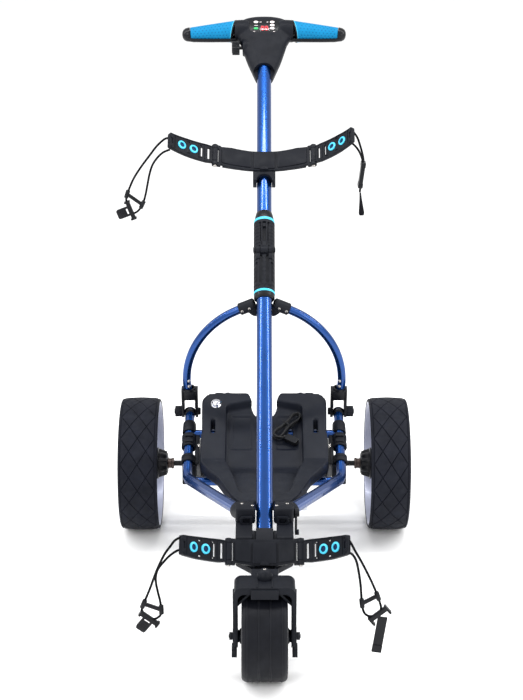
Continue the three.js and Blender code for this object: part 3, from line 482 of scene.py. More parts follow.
# ---- cords, their points read again from the photograph after the CAD's ----
CORDS = {
    "upper_cord_left": [
        (-205, 103, 879), (-212, 103, 879), (-220, 100, 876), (-235, 94, 863), (-250, 91, 844),
        (-269, 90, 819), (-286, 89, 793),
        (-297, 89, 769), (-303, 89, 753), (-304, 89, 741), (-301, 89, 730), (-296, 89, 720),
        (-289, 89, 714),
        (-281, 89, 717), (-273, 89, 726), (-266, 89, 740), (-261, 89, 757), (-256, 88, 781),
        (-251, 87, 804),
        (-244, 86, 824), (-233, 85, 840), (-222, 87, 850), (-213, 90, 854), (-206, 92, 856)],
    "upper_cord_right": [
        (184, 100, 896), (190, 101, 896), (196, 103, 891), (204, 104, 879), (210, 104, 862),
        (215, 103, 845),
        (218, 103, 828), (217, 103, 810), (215, 103, 790), (213, 103, 774), (211.5, 101.5, 764),
        (211, 98, 760.5),
        (211, 94.5, 764), (212.5, 93, 776), (214.5, 93, 795), (216.5, 93, 812), (216, 92, 828),
        (212, 91, 842),
        (205, 90, 856), (196, 88, 867), (188, 87, 873), (181, 87, 875)],
    "lower_cord_left": [
        (-154, -614, 268), (-162, -616, 268), (-171, -622, 265), (-179, -627, 256),
        (-190, -628, 240), (-201, -628, 217),
        (-210, -628, 194), (-219, -628, 168), (-228, -628, 145), (-236, -628, 124),
        (-236, -628, 112),
        (-228, -628, 104), (-216, -628, 100), (-205, -628, 104), (-199, -628, 115),
        (-201, -623, 135),
        (-206, -620, 158), (-209, -620, 182), (-205, -621, 202), (-194, -623, 219),
        (-180, -626, 236),
        (-166, -626, 246), (-154, -622, 248)],
    "lower_cord_right": [
        (150, -614, 268), (158, -616, 266), (165, -622, 258), (172, -628, 246), (182, -628, 228),
        (193, -628, 206),
        (205, -628, 180), (214, -628, 158), (221, -628, 138), (224, -628, 124), (221, -628, 113),
        (211, -628, 107), (200, -628, 107), (192, -628, 114), (188, -626, 128), (186, -623, 148),
        (184, -621, 172), (180, -620, 198), (175, -623, 222), (168, -625, 236),
        (158, -624, 243), (150, -622, 245)],
}
CORD_RADIUS = 2.4
HOOKS = {
    "upper_cord_left": ("upper_hook_left", (-300, 87, 719), 69),
    "upper_cord_right": ("upper_hook_right", (212, 98, 757), -6),
    "lower_cord_left": ("lower_hook_left", (-226, -628, 97), 38),
    "lower_cord_right": ("lower_hook_right", (223, -628, 107), -40),
}
SLIDER_HEIGHTS = {"upper_cord_left": (757, 733), "lower_cord_left": (133, 120),
                  "lower_cord_right": (133, 150)}
ARM_OF = {"upper_cord_left": "upper_left_arm", "upper_cord_right": "upper_right_arm",
          "lower_cord_left": "lower_left_arm", "lower_cord_right": "lower_right_arm"}


def curve_piece(name, points, radius, finish, body, nodes, detail=3):
    curve = bpy.data.curves.new(name, "CURVE")
    curve.dimensions = "3D"
    curve.bevel_depth = radius / 1000
    curve.bevel_resolution = detail
    curve.use_fill_caps = True
    spline = curve.splines.new("POLY")
    spline.points.add(len(points) - 1)
    row = [TO_ROW @ Vector(p) for p in points]
    for target, p in zip(spline.points, row):
        target.co = (*p, 1)
    curve.materials.append(finish)
    made = bpy.data.objects.new(name, curve)
    scene.collection.objects.link(made)
    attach(made, body)
    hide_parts(*nodes)
    length = sum((a - b).length for a, b in zip(row, row[1:]))
    return made, row[0], length


def legs_at(path, heights):
    """Where the left and the right leg of a hanging loop pass their heights, with the way they run there."""
    found = []
    for height in heights:
        for a, b in zip(path, path[1:]):
            if (a.z - height) * (b.z - height) <= 0 and a.z != b.z:
                found.append((a.lerp(b, (height - a.z) / (b.z - a.z)), (b - a).normalized(),
                              height))
    left = min((f for f in found if f[2] == heights[0]), key=lambda f: f[0].x)
    right = max((f for f in found if f[2] == heights[1]), key=lambda f: f[0].x)
    return left[:2], right[:2]


def toggle(turn_angle, place):
    """The bar that a bag's loop is held by, with its tab."""
    frame_of = at(*place) @ turn("Y", turn_angle) @ FACE_FRONT
    head = slab(rounded(rectangle(-21, 21, 1, 10), 2.5), -4, 4, 1.1)
    ribs = [slab(rounded(rectangle(-19, 19, z - 0.7, z + 0.7), 0.6), -4.7, 4.7, 0.3) for z in (3.6,
            7.4)]
    tab = slab(rounded([(-11, 3), (11, 3), (11, -22), (9, -26), (-9, -26), (-11, -22)], 2), -2.4,
               2.4, 0.8,
               [rounded(rectangle(-6.5, 6.5, -4, 0), 1)])
    crease = [slab(rounded(rectangle(-8, 8, z - 0.6, z + 0.6), 0.5), -3.1, 3.1, 0.3) for z in (-9,
            -13.5, -18)]
    ends = [slab(rounded(rectangle(x - 2.2, x + 2.2, -1.5, 11.5), 1.4), -5, 5, 1) for x in (-20,
            20)]
    return [placed(p, frame_of) for p in (head, *ribs, tab, *crease, *ends)]


def webbing_end(turn_angle, place):
    """The toggle's bar without its tab, and the webbing that hangs from it."""
    frame_of = at(*place) @ turn("Y", turn_angle) @ FACE_FRONT
    head = slab(rounded(rectangle(-21, 21, 1, 10), 2.5), -4, 4, 1.1)
    ends = [slab(rounded(rectangle(x - 2.2, x + 2.2, -8, 12), 1.4), -5, 5, 1) for x in (-20, 20)]
    strap = slab(rounded([(-9.5, 6), (9.5, 6), (9.5, -71), (-9.5, -71)], 1.2), -1, 1, 0.4)
    fold = slab(rounded([(-9.6, -56), (9.6, -56), (9.6, -72), (-9.6, -72)], 1.2), -2.2, 2.2, 0.6)
    hang = at(place[0] + 4, place[1], place[2] - 8) @ turn("Y", 8) @ FACE_FRONT
    return [placed(p, frame_of) for p in (head, *ends)] + [placed(p, hang) for p in (strap, fold)]


def twisted_end(_turn_angle, place):
    """A folded tail seen from its edge, twisted as it hangs."""
    rings = []
    for k in range(19):
        t = k / 18
        angle = radians(80 - 70 * t)
        wide, thick = 4.6 + 2.4 * t, 1.5 + 0.5 * (1 - t)
        if t > 0.9:
            wide *= 1 - 3 * (t - 0.9)
        across = Vector((cos(angle), sin(angle), 0))
        out = Vector((-sin(angle), cos(angle), 0))
        rings.append([across * wide * u + out * thick * v + Vector((4 * t, 0, -51 * t)) for u,
                      v in circle(1, 16)])
    return [placed(skin(rings), at(*place))]


def slider_bar(ends):
    """A clip on each leg of the loop and the bar between them."""
    parts = []
    for point, along in ends:
        sleeve = ring_lathe([(2.6, -9), (4.2, -9), (4.8, -8), (4.8, 8), (4.2, 9), (2.6, 9)], 20)
        parts.append(placed(sleeve, at(*point) @ along.to_track_quat("Z",
                "Y").to_matrix().to_4x4()))
    (left, _), (right, _) = ends
    span = right - left
    half = span.length / 2
    middle = at(*((left + right) / 2)) @ turn("Y", -degrees(atan2(span.z, span.x)))
    parts.append(placed(box((-half + 2.8, half - 2.8), (-2.6, 2.6), (-3.8, 3.8), 0.9), middle))
    parts.append(placed(box((-half + 5, half - 5), (-3.4, 3.4), (-1.3, 1.3), 0.5), middle))
    return parts


def edge_on_buckle():
    """A slider turned so that its edge faces the front; both legs of the loop run inside it."""
    lean = at(214.2, 98, 799) @ turn("Y", 7)
    body = slab(rounded(rectangle(-13, 13, -29, 29), 3), -4.4, 4.4, 1.2)
    pads = [slab(rounded(rectangle(-14, 14, z - 5, z + 5), 2), -5.2, 5.2, 1.2) for z in (-23, 23)]
    return [placed(p, lean, STAND_X) for p in (body, *pads)]


def hanging_cords():
    for name, points in CORDS.items():
        path = smooth_path(points)
        body = ARM_OF[name]
        made, start, length = curve_piece(name, path, CORD_RADIUS, CORD, body,
                                          [name])
        hook_node, place, angle = HOOKS[name]
        ending = {"upper_cord_right": twisted_end, "lower_cord_right": webbing_end}.get(name,
                toggle)
        finish = STRAP if name == "upper_cord_right" else GLOSS
        hook = piece(hook_node + "_detail", finish, body, ending(angle, place),
                     [hook_node])
        heights = SLIDER_HEIGHTS.get(name)
        parts = slider_bar(legs_at(path, heights)) if heights else edge_on_buckle()
        slider = piece(name + "_slider", GLOSS, body, parts)
        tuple(start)


LEAD_TAIL = [(5, 137.5, 3.4), (5, 133, 3.1), (5, 126, 3), (5, 118, 3), (5, 110, 3), (5.5, 103, 3),
             (7, 97, 3),
             (9.5, 92, 3)]
LEAD_RADIUS = 2.5
HANK_AT, HANK_TURN = (50, 112, 0), 50
PLUG_AT, PLUG_TURN = (58.6, 74, 0), -32
HANK_END = 31.0
HANK_BEND = 10.6
HANK_TURNS = 2
HANK_PITCH = 5.15


def hank_path():
    """Two turns of a long loop, drawn in at its tie, each a diameter above the last."""
    path = []
    per = 44
    for k in range(int(per * (HANK_TURNS + 0.06))):
        share = k / per
        angle = 2 * pi * share + radians(155)
        u, v = cos(angle), sin(angle)
        reach = HANK_END * (abs(u) ** 0.55) * (1 if u > 0 else -1) + HANK_BEND * u
        waist = 0.34 + 0.66 * min(1, abs(reach) / 30) ** 1.4
        path.append(Vector((reach, HANK_BEND * 1.05 * v * waist, 2.7 + HANK_PITCH * share)))
    return path


def battery_lead():
    hank = at(*HANK_AT) @ turn("Z", HANK_TURN)
    turns = [hank @ p for p in hank_path()]
    plug = at(*PLUG_AT) @ turn("Z", PLUG_TURN)
    height = HANK_PITCH * HANK_TURNS + 2.7
    last = hank.inverted() @ (plug @ Vector((-16, 0, 5.6)))
    route = [hank @ Vector((-40.5, -7, height)), hank @ Vector((-37.5, -12, height - 0.5)),
             hank @ Vector((-33, -15.5, 10.5)), hank @ Vector((-28.5, -16, 7)), hank @ last]
    joined = smooth_path([Vector(p) for p in LEAD_TAIL] + turns[1::2] + route, 4)
    path = [SLOPE @ p for p in joined]
    made, start, length = curve_piece("battery_lead", path, LEAD_RADIUS, LEAD, "chassis",
                                      ["battery_lead_hank", "battery_lead_tail"], 4)
    shell = edged(carved(slab(rounded(rectangle(-13, 15, -8, 8), 2), 0.4, 11, 0.8),
                         slab(rectangle(5, 20, -5.5, 5.5), 3, 8.5, 0)), 0.3)
    ribs = [box((x - 0.7, x + 0.7), (-8.6, 8.6), (1.5, 10), 0.3) for x in (-9, -6, -3)]
    relief = placed(lathe([(2.6, -9), (3.4, -8), (4.6, 0), (4.6, 3), (2.6, 3)], 24, True),
                    at(-13, 0, 5.6), UP_X)
    plug_piece = piece("battery_plug_detail", GLOSS, "chassis",
                       [placed(p, SLOPE @ plug) for p in (shell, *ribs, relief)], ["battery_plug"])
    tie_parts = []
    loop = [hank @ Vector((0, 7.4 * cos(t),
                           7.3 + 7.1 * sin(t))) for t in (2 * pi * k / 40 for k in range(40))]
    rings = []
    for i, p in enumerate(loop):
        along = (loop[(i + 1) % 40] - loop[i - 1]).normalized()
        flat = (hank.to_3x3() @ Vector((1, 0, 0)))
        out = along.cross(flat)
        rings.append([p + flat * u + out * v for u, v in ((-2.2, -0.6), (2.2, -0.6), (2.2, 0.6),
                                                          (-2.2, 0.6))])
    tie_parts.append(skin(rings, closed=True))
    tie_parts.append(placed(box((-2.6, 2.6), (-2.6, 2.6), (0, 3.2), 0.6), hank, at(0, 0, 13.8)))
    tie_parts.append(placed(box((-1, 1), (0, 17), (0, 0.9), 0.3), hank, at(0, 1, 15.5),
                            turn("X", -14), turn("Z", -8)))
    tie = piece("battery_lead_tie", GLOSS, "chassis",
                [placed(p, SLOPE) for p in tie_parts])
    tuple(start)


hanging_cords()
battery_lead()


# ---- mast ----
def tube(radius, wall, low, high, segments=64):
    return ring_lathe([(radius, low + 0.5), (radius - 0.4, low), (radius - wall, low),
                       (radius - wall, high),
                       (radius - 0.4, high), (radius, high - 0.5)][::-1], segments)


piece("mast_lower_tube_detail", BLUE, "lower_mast",
      [placed(tube(MAST_RADIUS, MAST_WALL, -100, 531.7), MAST)],
      ["mast_lower_tube"])
piece("mast_upper_tube_detail", BLUE, "upper_mast",
      [placed(tube(MAST_RADIUS, MAST_WALL, 644.3, 1168), MAST)],
      ["mast_upper_tube"])
piece("mast_foot_plug", PLASTIC, "lower_mast",
      [placed(lathe([(0, -104), (15, -104), (17.6, -101.5), (17.6, -97), (16.6, -96), (14.5, -96),
                     (14.5, -86), (0, -86)],
                    40), MAST)])


def fold_body(low, high):
    """Half of the fold joint: a round body with fine steps down its sides."""
    profile = [(17, low)]
    count = 9
    for k in range(count):
        z = low + (high - low) * (k + 0.5) / count
        step = (high - low) / count
        profile += [(22.3, z - 0.46 * step), (23.1, z - 0.36 * step), (23.1, z + 0.3 * step),
                    (22.3, z + 0.42 * step)]
    profile.append((17, high))
    return ring_lathe(profile, 56)


def fold_joint():
    pin = at(0, -20, FOLD)
    gap = 0.25
    for name, low, high in (("lower", 490, FOLD - gap), ("upper", FOLD + gap, 668)):
        body = fold_body(low, high)
        if name == "lower":
            slots = [placed(slab(rounded(rectangle(x - 3.4, x + 3.4, 504, 576), 2.5), 17.4, 30, 0),
                            FACE_FRONT)
                     for x in (-7.2, 7.2)]
            slots += [placed(slab(rounded(rectangle(x - 2.2, x + 2.2, 512, 560), 2), 12.5, 30, 0),
                             FACE_FRONT)
                      for x in (-16.5, 16.5)]
        else:
            slots = [placed(slab(rounded([(-9, 592), (9, 592), (9, 648), (12, 660), (-12, 660),
                                          (-9, 648)], 2.5),
                                 17.6, 30, 0), FACE_FRONT)]
        notch = placed(box((-30, 30), (-40, -19.3), (FOLD - 12, FOLD + 12), 0))
        shaped = edged(carved(body, *slots, notch), 0.5)
        extras = []
        if name == "upper":
            extras += [placed(slab(rounded(rectangle(x - 1.5, x + 1.5, 600, 662), 1.3), 16, 22.6,
                                   0.5), FACE_FRONT)
                       for x in (-5.4, 5.4)]
            extras.append(placed(slab(rounded(rectangle(-3, 3, 648, 657), 1), 16, 21.5, 0.5),
                                 FACE_FRONT))
            extras.append(placed(rod(9, -8.6, 8.6, 0.8), pin, UP_X))
            extras.append(box((-8.6, 8.6), (-22.6, -14), (FOLD, FOLD + 22), 1))
        else:
            for x in (-13.6, 13.6):
                extras.append(placed(rod(9, -4.2, 4.2, 0.8), at(x, 0, 0), pin, UP_X))
                extras.append(box((x - 4.2, x + 4.2), (-22.6, -14), (FOLD - 22, FOLD), 1))
            extras += [placed(slab(rounded(rectangle(x - 1.7, x + 1.7, 498, 574), 1.3), 16, reach,
                                   0.5), FACE_FRONT)
                       for x, reach in ((0, 24), (-12.6, 20.6), (12.6, 20.6))]
            lug = slab(rounded([(17.5, 463), (19, 456), (28, 452.8), (37, 456), (38.5, 463),
                                (29, 500), (18, 500)], 3),
                       -7.6, 7.6, 1.2)
            extras.append(placed(lug, STAND_X))
        piece(f"fold_housing_{name}_detail", PLASTIC, f"{name}_mast",
              [placed(p, MAST) for p in (shaped, *extras)], [f"fold_housing_{name}"])
    caps = {
        "upper": ([(17, 667), (22.6, 667), (23.1, 668), (22.6, 673), (17, 673)],
                  [(16.8, 672.5), (21.8, 672.5), (22, 674), (19.4, 687), (17.8, 693.5),
                   (16.8, 694.5)]),
        "lower": ([(17, 485.5), (22.8, 485.5), (23.4, 486.5), (23.4, 490), (22.6, 491), (17, 491)],
                  [(16.8, 474), (18.6, 474), (22.2, 477.5), (22.9, 486), (16.8, 486)]),
    }
    for name, (ring, cap) in caps.items():
        piece(f"fold_ring_{name}", AQUA, f"{name}_mast",
              [placed(ring_lathe(ring, 56), MAST)])
        piece(f"fold_cap_{name}", GLOSS, f"{name}_mast",
              [placed(ring_lathe(cap, 56), MAST)])
    heads = [placed(rod(4, -24, 24, 0.5), pin, UP_X)]
    for side in (-1, 1):
        heads.append(placed(lathe([(0, 18.2), (6.4, 18.2), (6.6, 19), (6.6, 22.4), (5.8, 23.8),
                                   (3, 24.2), (2.4, 23),
                                   (0, 23)], 28), pin, mirror(side), UP_X))
    piece("fold_pin_detail", METAL, "lower_mast", [placed(p, MAST) for p in heads],
          ["fold_pin"])
    lever = slab(rounded([(23.4, 542), (31, 537), (34.5, 546), (30, 600), (29, 615), (23.4, 611)],
                         3), -10.6, 10.6, 2)
    ribs = [box((-8, 8), (30.2, 33.4), (z - 0.9, z + 0.9), 0.5) for z in (548, 553, 558, 563)]
    piece("fold_latch_lever_detail", GLOSS, "fold_latch",
          [placed(p, MAST) for p in (placed(lever, STAND_X), *ribs)], ["fold_latch_lever"])


fold_joint()


# ---- handle ----
def shell_section(half_width, half_depth, z, power=2.6, count=44):
    points = []
    for i in range(count):
        a = 2 * pi * i / count
        c, s = cos(a), sin(a)
        x = half_width * abs(c) ** (2 / power) * (1 if c > 0 else -1)
        y = half_depth * abs(s) ** (2 / power) * (1 if s > 0 else -1)
        points.append((x, y, z))
    return points


def lean_of(side):
    return mirror(side) @ at(71, 0, 1206) @ turn("Y", 5.04)


GRIP_LENGTH = 102.4


def handle():
    rows = [(19.5, 20, 1062), (25, 21.5, 1076), (31, 22.4, 1092), (37.5, 23, 1109),
            (43.5, 23.3, 1128),
            (49, 23.5, 1148), (54, 23.5, 1166), (61, 23.5, 1180), (67, 23.5, 1196), (67, 23, 1212),
            (62, 21.5, 1226),
            (50, 18.5, 1234.5), (34, 13.5, 1240), (18, 8, 1242.3)]
    body = skin([shell_section(w, d, z) for w, d, z in rows])
    parts = [body]
    for side in (-1, 1):
        parts.append(placed(lathe([(0, -42), (22, -42), (25.4, -30), (26, -14), (25.6, -1),
                                   (0, -1)], 48),
                            lean_of(side), UP_X))
    parts.append(placed(lathe([(0, 30), (19, 30), (20, 33), (20, 47), (18.5, 50.2), (0, 50.2)], 40),
                        at(0, 0, 1157), mirror(-1), UP_X))
    shell = moulded(merged(*parts), 1.7, 12)
    panel_edge = [(-35, 1222), (35, 1222), (35.5, 1200), (31, 1190), (22, 1184.5), (-22, 1184.5),
                  (-31, 1190),
                  (-35.5, 1200)]
    shell = carved(shell, placed(rod(27, 8, 60, 0), at(0, 0, 1069), FACE_FRONT),
                   rod(MAST_BORE, 1050, 1171, 0, 64),
                   placed(slab(rounded(panel_edge, 5), 21.2, 40, 0), FACE_FRONT),
                   placed(rod(4.3, 30, 60, 0), at(0, 0, 1157), mirror(-1), UP_X))
    piece("handle_shell_detail", PLASTIC, "upper_mast",
          [placed(edged(shell, 0.6, 50), MAST)],
          ["handle_shell"], 50)

    ends = []
    for side in (-1, 1):
        cap = lathe([(0, -6), (9, -6), (9, GRIP_LENGTH + 0.3), (16.4, GRIP_LENGTH + 0.3),
                     (16.6, GRIP_LENGTH + 3),
                     (15.2, GRIP_LENGTH + 10), (12, GRIP_LENGTH + 15), (7, GRIP_LENGTH + 18),
                     (0, GRIP_LENGTH + 19)], 40)
        ends.append(placed(cap, lean_of(side), UP_X))
        collar = ring_lathe([(9, -1.5), (25.9, -1.5), (26.2, -0.4), (26, 1.6), (9, 1.6)], 56)
        ends.append(placed(slanted(collar), lean_of(side), UP_X))
        under = sweep([(66, 0, 1180.2), (90, 0, 1179.2), (130, 0, 1178.9), (165, 0, 1179.4),
                       (181, 0, 1182.5)],
                      [(5.5 * a, 3.2 * b) for a, b in circle(1, 16)], side=(0, 1, 0))
        ends.append(placed(under, mirror(side)))
    piece("handle_end_caps", GLOSS, "upper_mast", [placed(p, MAST) for p in ends])

    frame_plate = placed(slab(rounded(panel_edge, 5), 20.6, 22, 0.4), FACE_FRONT)
    window = slab(rounded(rectangle(-10, 12.5, 1188.5, 1207), 1.5), 21.8, 22.5, 0.25)
    piece("display_panel", GLOSS, "upper_mast", [placed(frame_plate, MAST)])
    piece("display_window", GLASS, "upper_mast",
          [placed(window, MAST, FACE_FRONT)])
    marks = []
    for x, z, w in ((-8, 1216, 5), (-19, 1206, 8), (8, 1216, 4), (-23, 1188, 4), (23, 1188, 4)):
        marks.append(slab(rectangle(x - w / 2, x + w / 2, z - 0.45, z + 0.45), 21.9, 22.2, 0))
    piece("panel_marks", WHITE, "upper_mast",
          [placed(p, MAST, FACE_FRONT) for p in marks])
    digits = []
    for x in (-3.6, 5.6):
        for dx, dz, w, h in ((0, 5.6, 4.6, 1.5), (0, 0, 4.6, 1.5), (0, -5.6, 4.6, 1.5),
                             (-3, 2.8, 1.5, 3.9),
                             (3, 2.8, 1.5, 3.9), (-3, -2.8, 1.5, 3.9), (3, -2.8, 1.5, 3.9)):
            digits.append(slab(rectangle(x + dx - w / 2, x + dx + w / 2, 1197.5 + dz - h / 2,
                                         1197.5 + dz + h / 2),
                               22.4, 22.75, 0.1))
    piece("display_digits", RED, "upper_mast",
          [placed(p, MAST, FACE_FRONT) for p in digits])

    for name, x, z, finish in (("stop", -19, 1215.5, WHITE), ("start", -19, 1196.5, GREEN),
                               ("faster", 19, 1215.5, WHITE),
                               ("cruise", 19, 1206, WHITE), ("slower", 19, 1196.5, WHITE)):
        dome = lathe([(0, 18), (2.9, 18), (2.9, 23.3), (2.6, 23.9), (1.6, 24.3), (0, 24.4)], 32)
        dome.transform(Matrix.Diagonal((5.4 / 2.9, 1, 1, 1)))
        symbol = slab(circle(1.1, 16), 24.2, 24.5, 0.1)
        piece(f"button_{name}_detail", finish, f"{name}_button",
              [placed(dome, MAST, at(x, 0, z), FACE_FRONT)],
              [f"button_{name}"])
        if name != "start":
            piece(f"button_{name}_symbol", RED, f"{name}_button",
                  [placed(symbol, MAST, at(x, 0, z), FACE_FRONT)])

    wheel = slab(lobed(15.9, 0.6, 22, 6), -74, -57, 1.6)
    parts = [placed(wheel, UP_X), placed(rod(4, -58, -40, 0.3), UP_X),
             placed(ring_lathe([(8, -75), (12.4, -75), (12.8, -74.4), (12.4, -73), (8, -73)], 40),
                    UP_X)]
    piece("speed_knob_detail", GLOSS, "speed_dial",
          [placed(p, MAST, at(0, 0, 1157)) for p in parts],
          ["speed_knob"])


def slanted(bm):
    """The inner edge of a grip leans out towards its underside."""
    return warped(bm, lambda co: Vector((co.x, co.y, co.z + 8.5 * co.x / 25 * max(0,
            1 - co.z / 55))))


def grips():
    around, along = 150, 104
    for word, side in SIDES:
        rings = []
        pits = []
        for k in range(along + 1):
            t = k / along
            z = 1.4 + t * (GRIP_LENGTH - 1.8)
            radius = 25 + (16 - 25) * z / GRIP_LENGTH
            edge = min(t, 1 - t) * GRIP_LENGTH
            radius -= 1.0 * max(0, 1 - edge / 1.4) ** 2
            ring = []
            for i in range(around):
                a = 2 * pi * i / around
                row = a * 25 / 8.4
                row_at = round(row)
                shift = 0.5 * (row_at % 2)
                column = z / 8.6 - shift
                off = hypot((row - row_at) * 8.4 * radius / 25, (column - round(column)) * 8.6)
                inside = 9 < z < GRIP_LENGTH - 6
                pit = max(0, 1 - (off / 1.5) ** 2) if inside else 0
                r = radius - 0.9 * pit
                ring.append((r * cos(a), r * sin(a), z))
                pits.append(pit)
            rings.append(ring)
        bm = bmesh.new()
        # The pit depth is kept on each vertex as the mask for the painted shade in the dimples.
        layer = bm.verts.layers.float.new("pit")
        rows = []
        for k, ring in enumerate(rings):
            row = []
            for i, p in enumerate(ring):
                v = bm.verts.new(p)
                v[layer] = pits[k * around + i]
                row.append(v)
            rows.append(row)
        inner = [[bm.verts.new((9.2 * cos(2 * pi * i / around), 9.2 * sin(2 * pi * i / around), z))
                  for i in range(around)] for z in (GRIP_LENGTH - 0.4, 1.4)]
        loop = rows + inner
        for a, b in zip(loop, loop[1:] + loop[:1]):
            for i in range(around):
                j = (i + 1) % around
                bm.faces.new([a[i], a[j], b[j], b[i]])
        placed(slanted(bm), MAST @ lean_of(side), UP_X)
        piece(f"grip_{word}_detail", GRIP, "upper_mast", [bm], [f"grip_{word}"], 60)
        rim = ring_lathe([(23, 1.2), (25.25, 1.2), (25.45, 2), (25.2, 3.2), (23, 3.2)], 64)
        piece(f"grip_edge_{word}", AQUA, "upper_mast",
              [placed(slanted(rim), MAST @ lean_of(side), UP_X)])


def paint_pit_shade():
    """Painted shade: the grip's colour is darkened inside the dimples, where shade falls, mixed in by the
    pit depth.
    """
    nodes, link = GRIP.node_tree.nodes, GRIP.node_tree.links.new
    shader = nodes["Principled BSDF"]
    source = shader.inputs["Base Color"].links[0].from_socket
    pit = nodes.new("ShaderNodeAttribute")
    pit.attribute_name = "pit"
    mix = nodes.new("ShaderNodeMix")
    mix.data_type = "RGBA"
    link(pit.outputs["Fac"], mix.inputs["Factor"])
    link(source, mix.inputs[6])
    # painted shade colour inside the dimples
    mix.inputs[7].default_value = srgb(0, 52, 96)
    link(mix.outputs[2], shader.inputs["Base Color"])


handle()
grips()
paint_pit_shade()


# ---- cradles ----
CRADLES = {
    "upper": {"place": UPPER, "radius": 285, "hinge": 109, "band": 54, "body": "upper_mast",
              "turn": (4, -9),
              "forward": 25, "tilt": 0},
    "lower": {"place": LOWER, "radius": 195, "hinge": 70, "band": 52, "body": "lower_mast",
              "turn": (0, 0),
              "forward": 30.6, "tilt": 10.8},
}
ARM_LENGTH = 116


def bend_to(radius, origin_angle=0.0):
    """Takes [along, out, up] on a flat strip to a cradle's circle; out is away from the mast."""
    def move(co):
        angle = co.x / radius + origin_angle
        reach = radius + co.y
        return Vector((reach * sin(angle), -radius + reach * cos(angle), co.z))
    return move


def strip(outline, low, high, radius, bevel=0.7, holes=(), every=6.0, start=0.0):
    """A flat [along, up] outline, thick along Y from low to high, bent to a cradle's circle."""
    flat = slab(outline, -high, -low, bevel, holes)
    flat.transform(FACE_FRONT)
    xs = [v.co.x for v in flat.verts]
    count = int((max(xs) - min(xs)) / every)
    sliced(flat, [min(xs) + (k + 0.5) * every for k in range(count)])
    return warped(flat, bend_to(radius, start))


def cradle_band(name, size):
    radius, half = size["radius"], size["band"] / 2
    hinge_angle = asin(size["hinge"] / radius)
    end = (hinge_angle * radius) - 9
    top = half
    outline = [(-end, -half + 7), (-end + 16, -half + 2), (-40, -half), (40, -half),
               (end - 16, -half + 2),
               (end, -half + 7), (end, top - 3), (end - 30, top), (end - 36, top - 1),
               (30, top - 4), (-30, top - 4),
               (-end + 36, top - 1), (-end + 30, top), (-end, top - 3)]
    if name == "lower":
        outline = [(-end, -half + 5), (-24, -half), (24, -half), (end, -half + 5), (end, top - 2),
                   (26, top),
                   (-26, top), (-end, top - 2)]
    parts = [strip(rounded(outline, 4), -3.4, 3.4, radius, 1.4)]
    # Out is away from the front, so the face that a bag bears on is at negative depth.
    for side in (-1, 1):
        inner, outer = (30, end - 6) if name == "upper" else (28, end - 3)
        pad = [(side * inner, -half + 6), (side * outer, -half + 9), (side * outer, top - 6),
               (side * inner, top - 7)]
        parts.append(strip(rounded(pad, 3), -5.2, -3, radius, 1.0))
        for z in (-half + 3, top - 4.5 if name == "upper" else top - 3):
            rib = [(side * 27, z - 1), (side * (end - 10), z - 0.6), (side * (end - 10), z + 1),
                   (side * 27, z + 1)]
            parts.append(strip(rounded(rib, 0.8), 3, 5.6, radius, 0.5))
    parts.append(strip(rounded(rectangle(-24, 24, -half + 4, half - 6), 3), -5.5, -3, radius, 1.2))
    arch = [(-9, -half + 3), (-6, -half + 7), (0, -half + 9), (6, -half + 7), (9, -half + 3)]
    tongue = [*arch, (9, -half + 1), (-9, -half + 1)]
    parts.append(strip(rounded(tongue, 1), -6.8, -3, radius, 0.8))
    hinge_x, hinge_y = radius * sin(hinge_angle), -radius + radius * cos(hinge_angle)
    for side in (-1, 1):
        for low, high in ((17.4, half), (-half, -17.4)):
            parts.append(placed(rod(7, low, high, 0.8), at(side * hinge_x, hinge_y, 0)))
            lug = [(end - 4, low), (end + 8, low), (end + 8, high), (end - 4, high)]
            parts.append(placed(strip(lug, -3.4, 3.4, radius, 0.6), mirror(side)))
    to_mast = turn("X", -size["tilt"]) @ at(0, size["forward"], 0)
    ring_from = -18 if name == "upper" else 17
    ring = lathe([(0, ring_from), (20.5, ring_from), (21.5, ring_from + 1), (21.5, ring_from + 35),
                  (20.5, ring_from + 36), (0, ring_from + 36)], 48)
    web = box((-17, 17), (-size["forward"] - 1, -14), (min(ring_from, -14), ring_from + 36), 2)
    saddle = [ring, web]
    if name == "upper":
        block = slab(rounded([(-24, -20), (24, -20), (24, -52), (17, -52), (17, -47), (11, -38),
                              (0, -34),
                              (-11, -38), (-17, -47), (-17, -52), (-24, -52)], 2), 8, 26, 1.2)
        saddle.append(placed(block, FACE_FRONT))
        saddle += [box((x - 4, x + 4), (-12, 4), (-52, -18), 1.2) for x in (-21, 21)]
    else:
        saddle += [box((x - 4, x + 4), (-22, 6), (ring_from + 2, ring_from + 34),
                       1.2) for x in (-21, 21)]
    bore = rod(MAST_BORE, -90, 110, 0, 64)
    solid = carved(merged(saddle[0]), *saddle[1:], operation="UNION")
    solid = carved(solid, bore)
    parts.append(placed(edged(solid, 0.7, 45), to_mast))
    piece(f"{name}_cradle_band_detail", PLASTIC, size["body"],
          [placed(p, size["place"]) for p in parts], [f"{name}_cradle_band"])
    bolts = [placed(screw(3.4, 2), to_mast, at(x, 5 if name == "lower" else 2, (ring_from + 18)),
                    mirror(s), UP_X)
             for x, s in ((21.5, 1), (-21.5, -1))]
    pins = []
    for side in (-1, 1):
        pins.append(placed(rod(2.6, -half - 2.4, half + 1.2, 0.6), at(side * hinge_x, hinge_y, 0)))
        pins.append(placed(rod(3.9, -half - 2.6, -half - 0.2, 0.6), at(side * hinge_x, hinge_y, 0)))
    piece(f"{name}_cradle_pins", STEEL, size["body"],
          [placed(p, size["place"]) for p in (*bolts, *pins)])


def eyelet(is_ring):
    """A ring set in an arm, seen from the front face."""
    ring = ring_lathe([(6.2, -5.2), (8.6, -5.2), (10, -4.4), (10.2, -2), (6.2, -2)], 40)
    eye = lathe([(0, -3.0), (4, -2.9), (6.3, -2.6), (6.3, -1.5), (0, -1.5)], 32)
    return ring if is_ring else eye


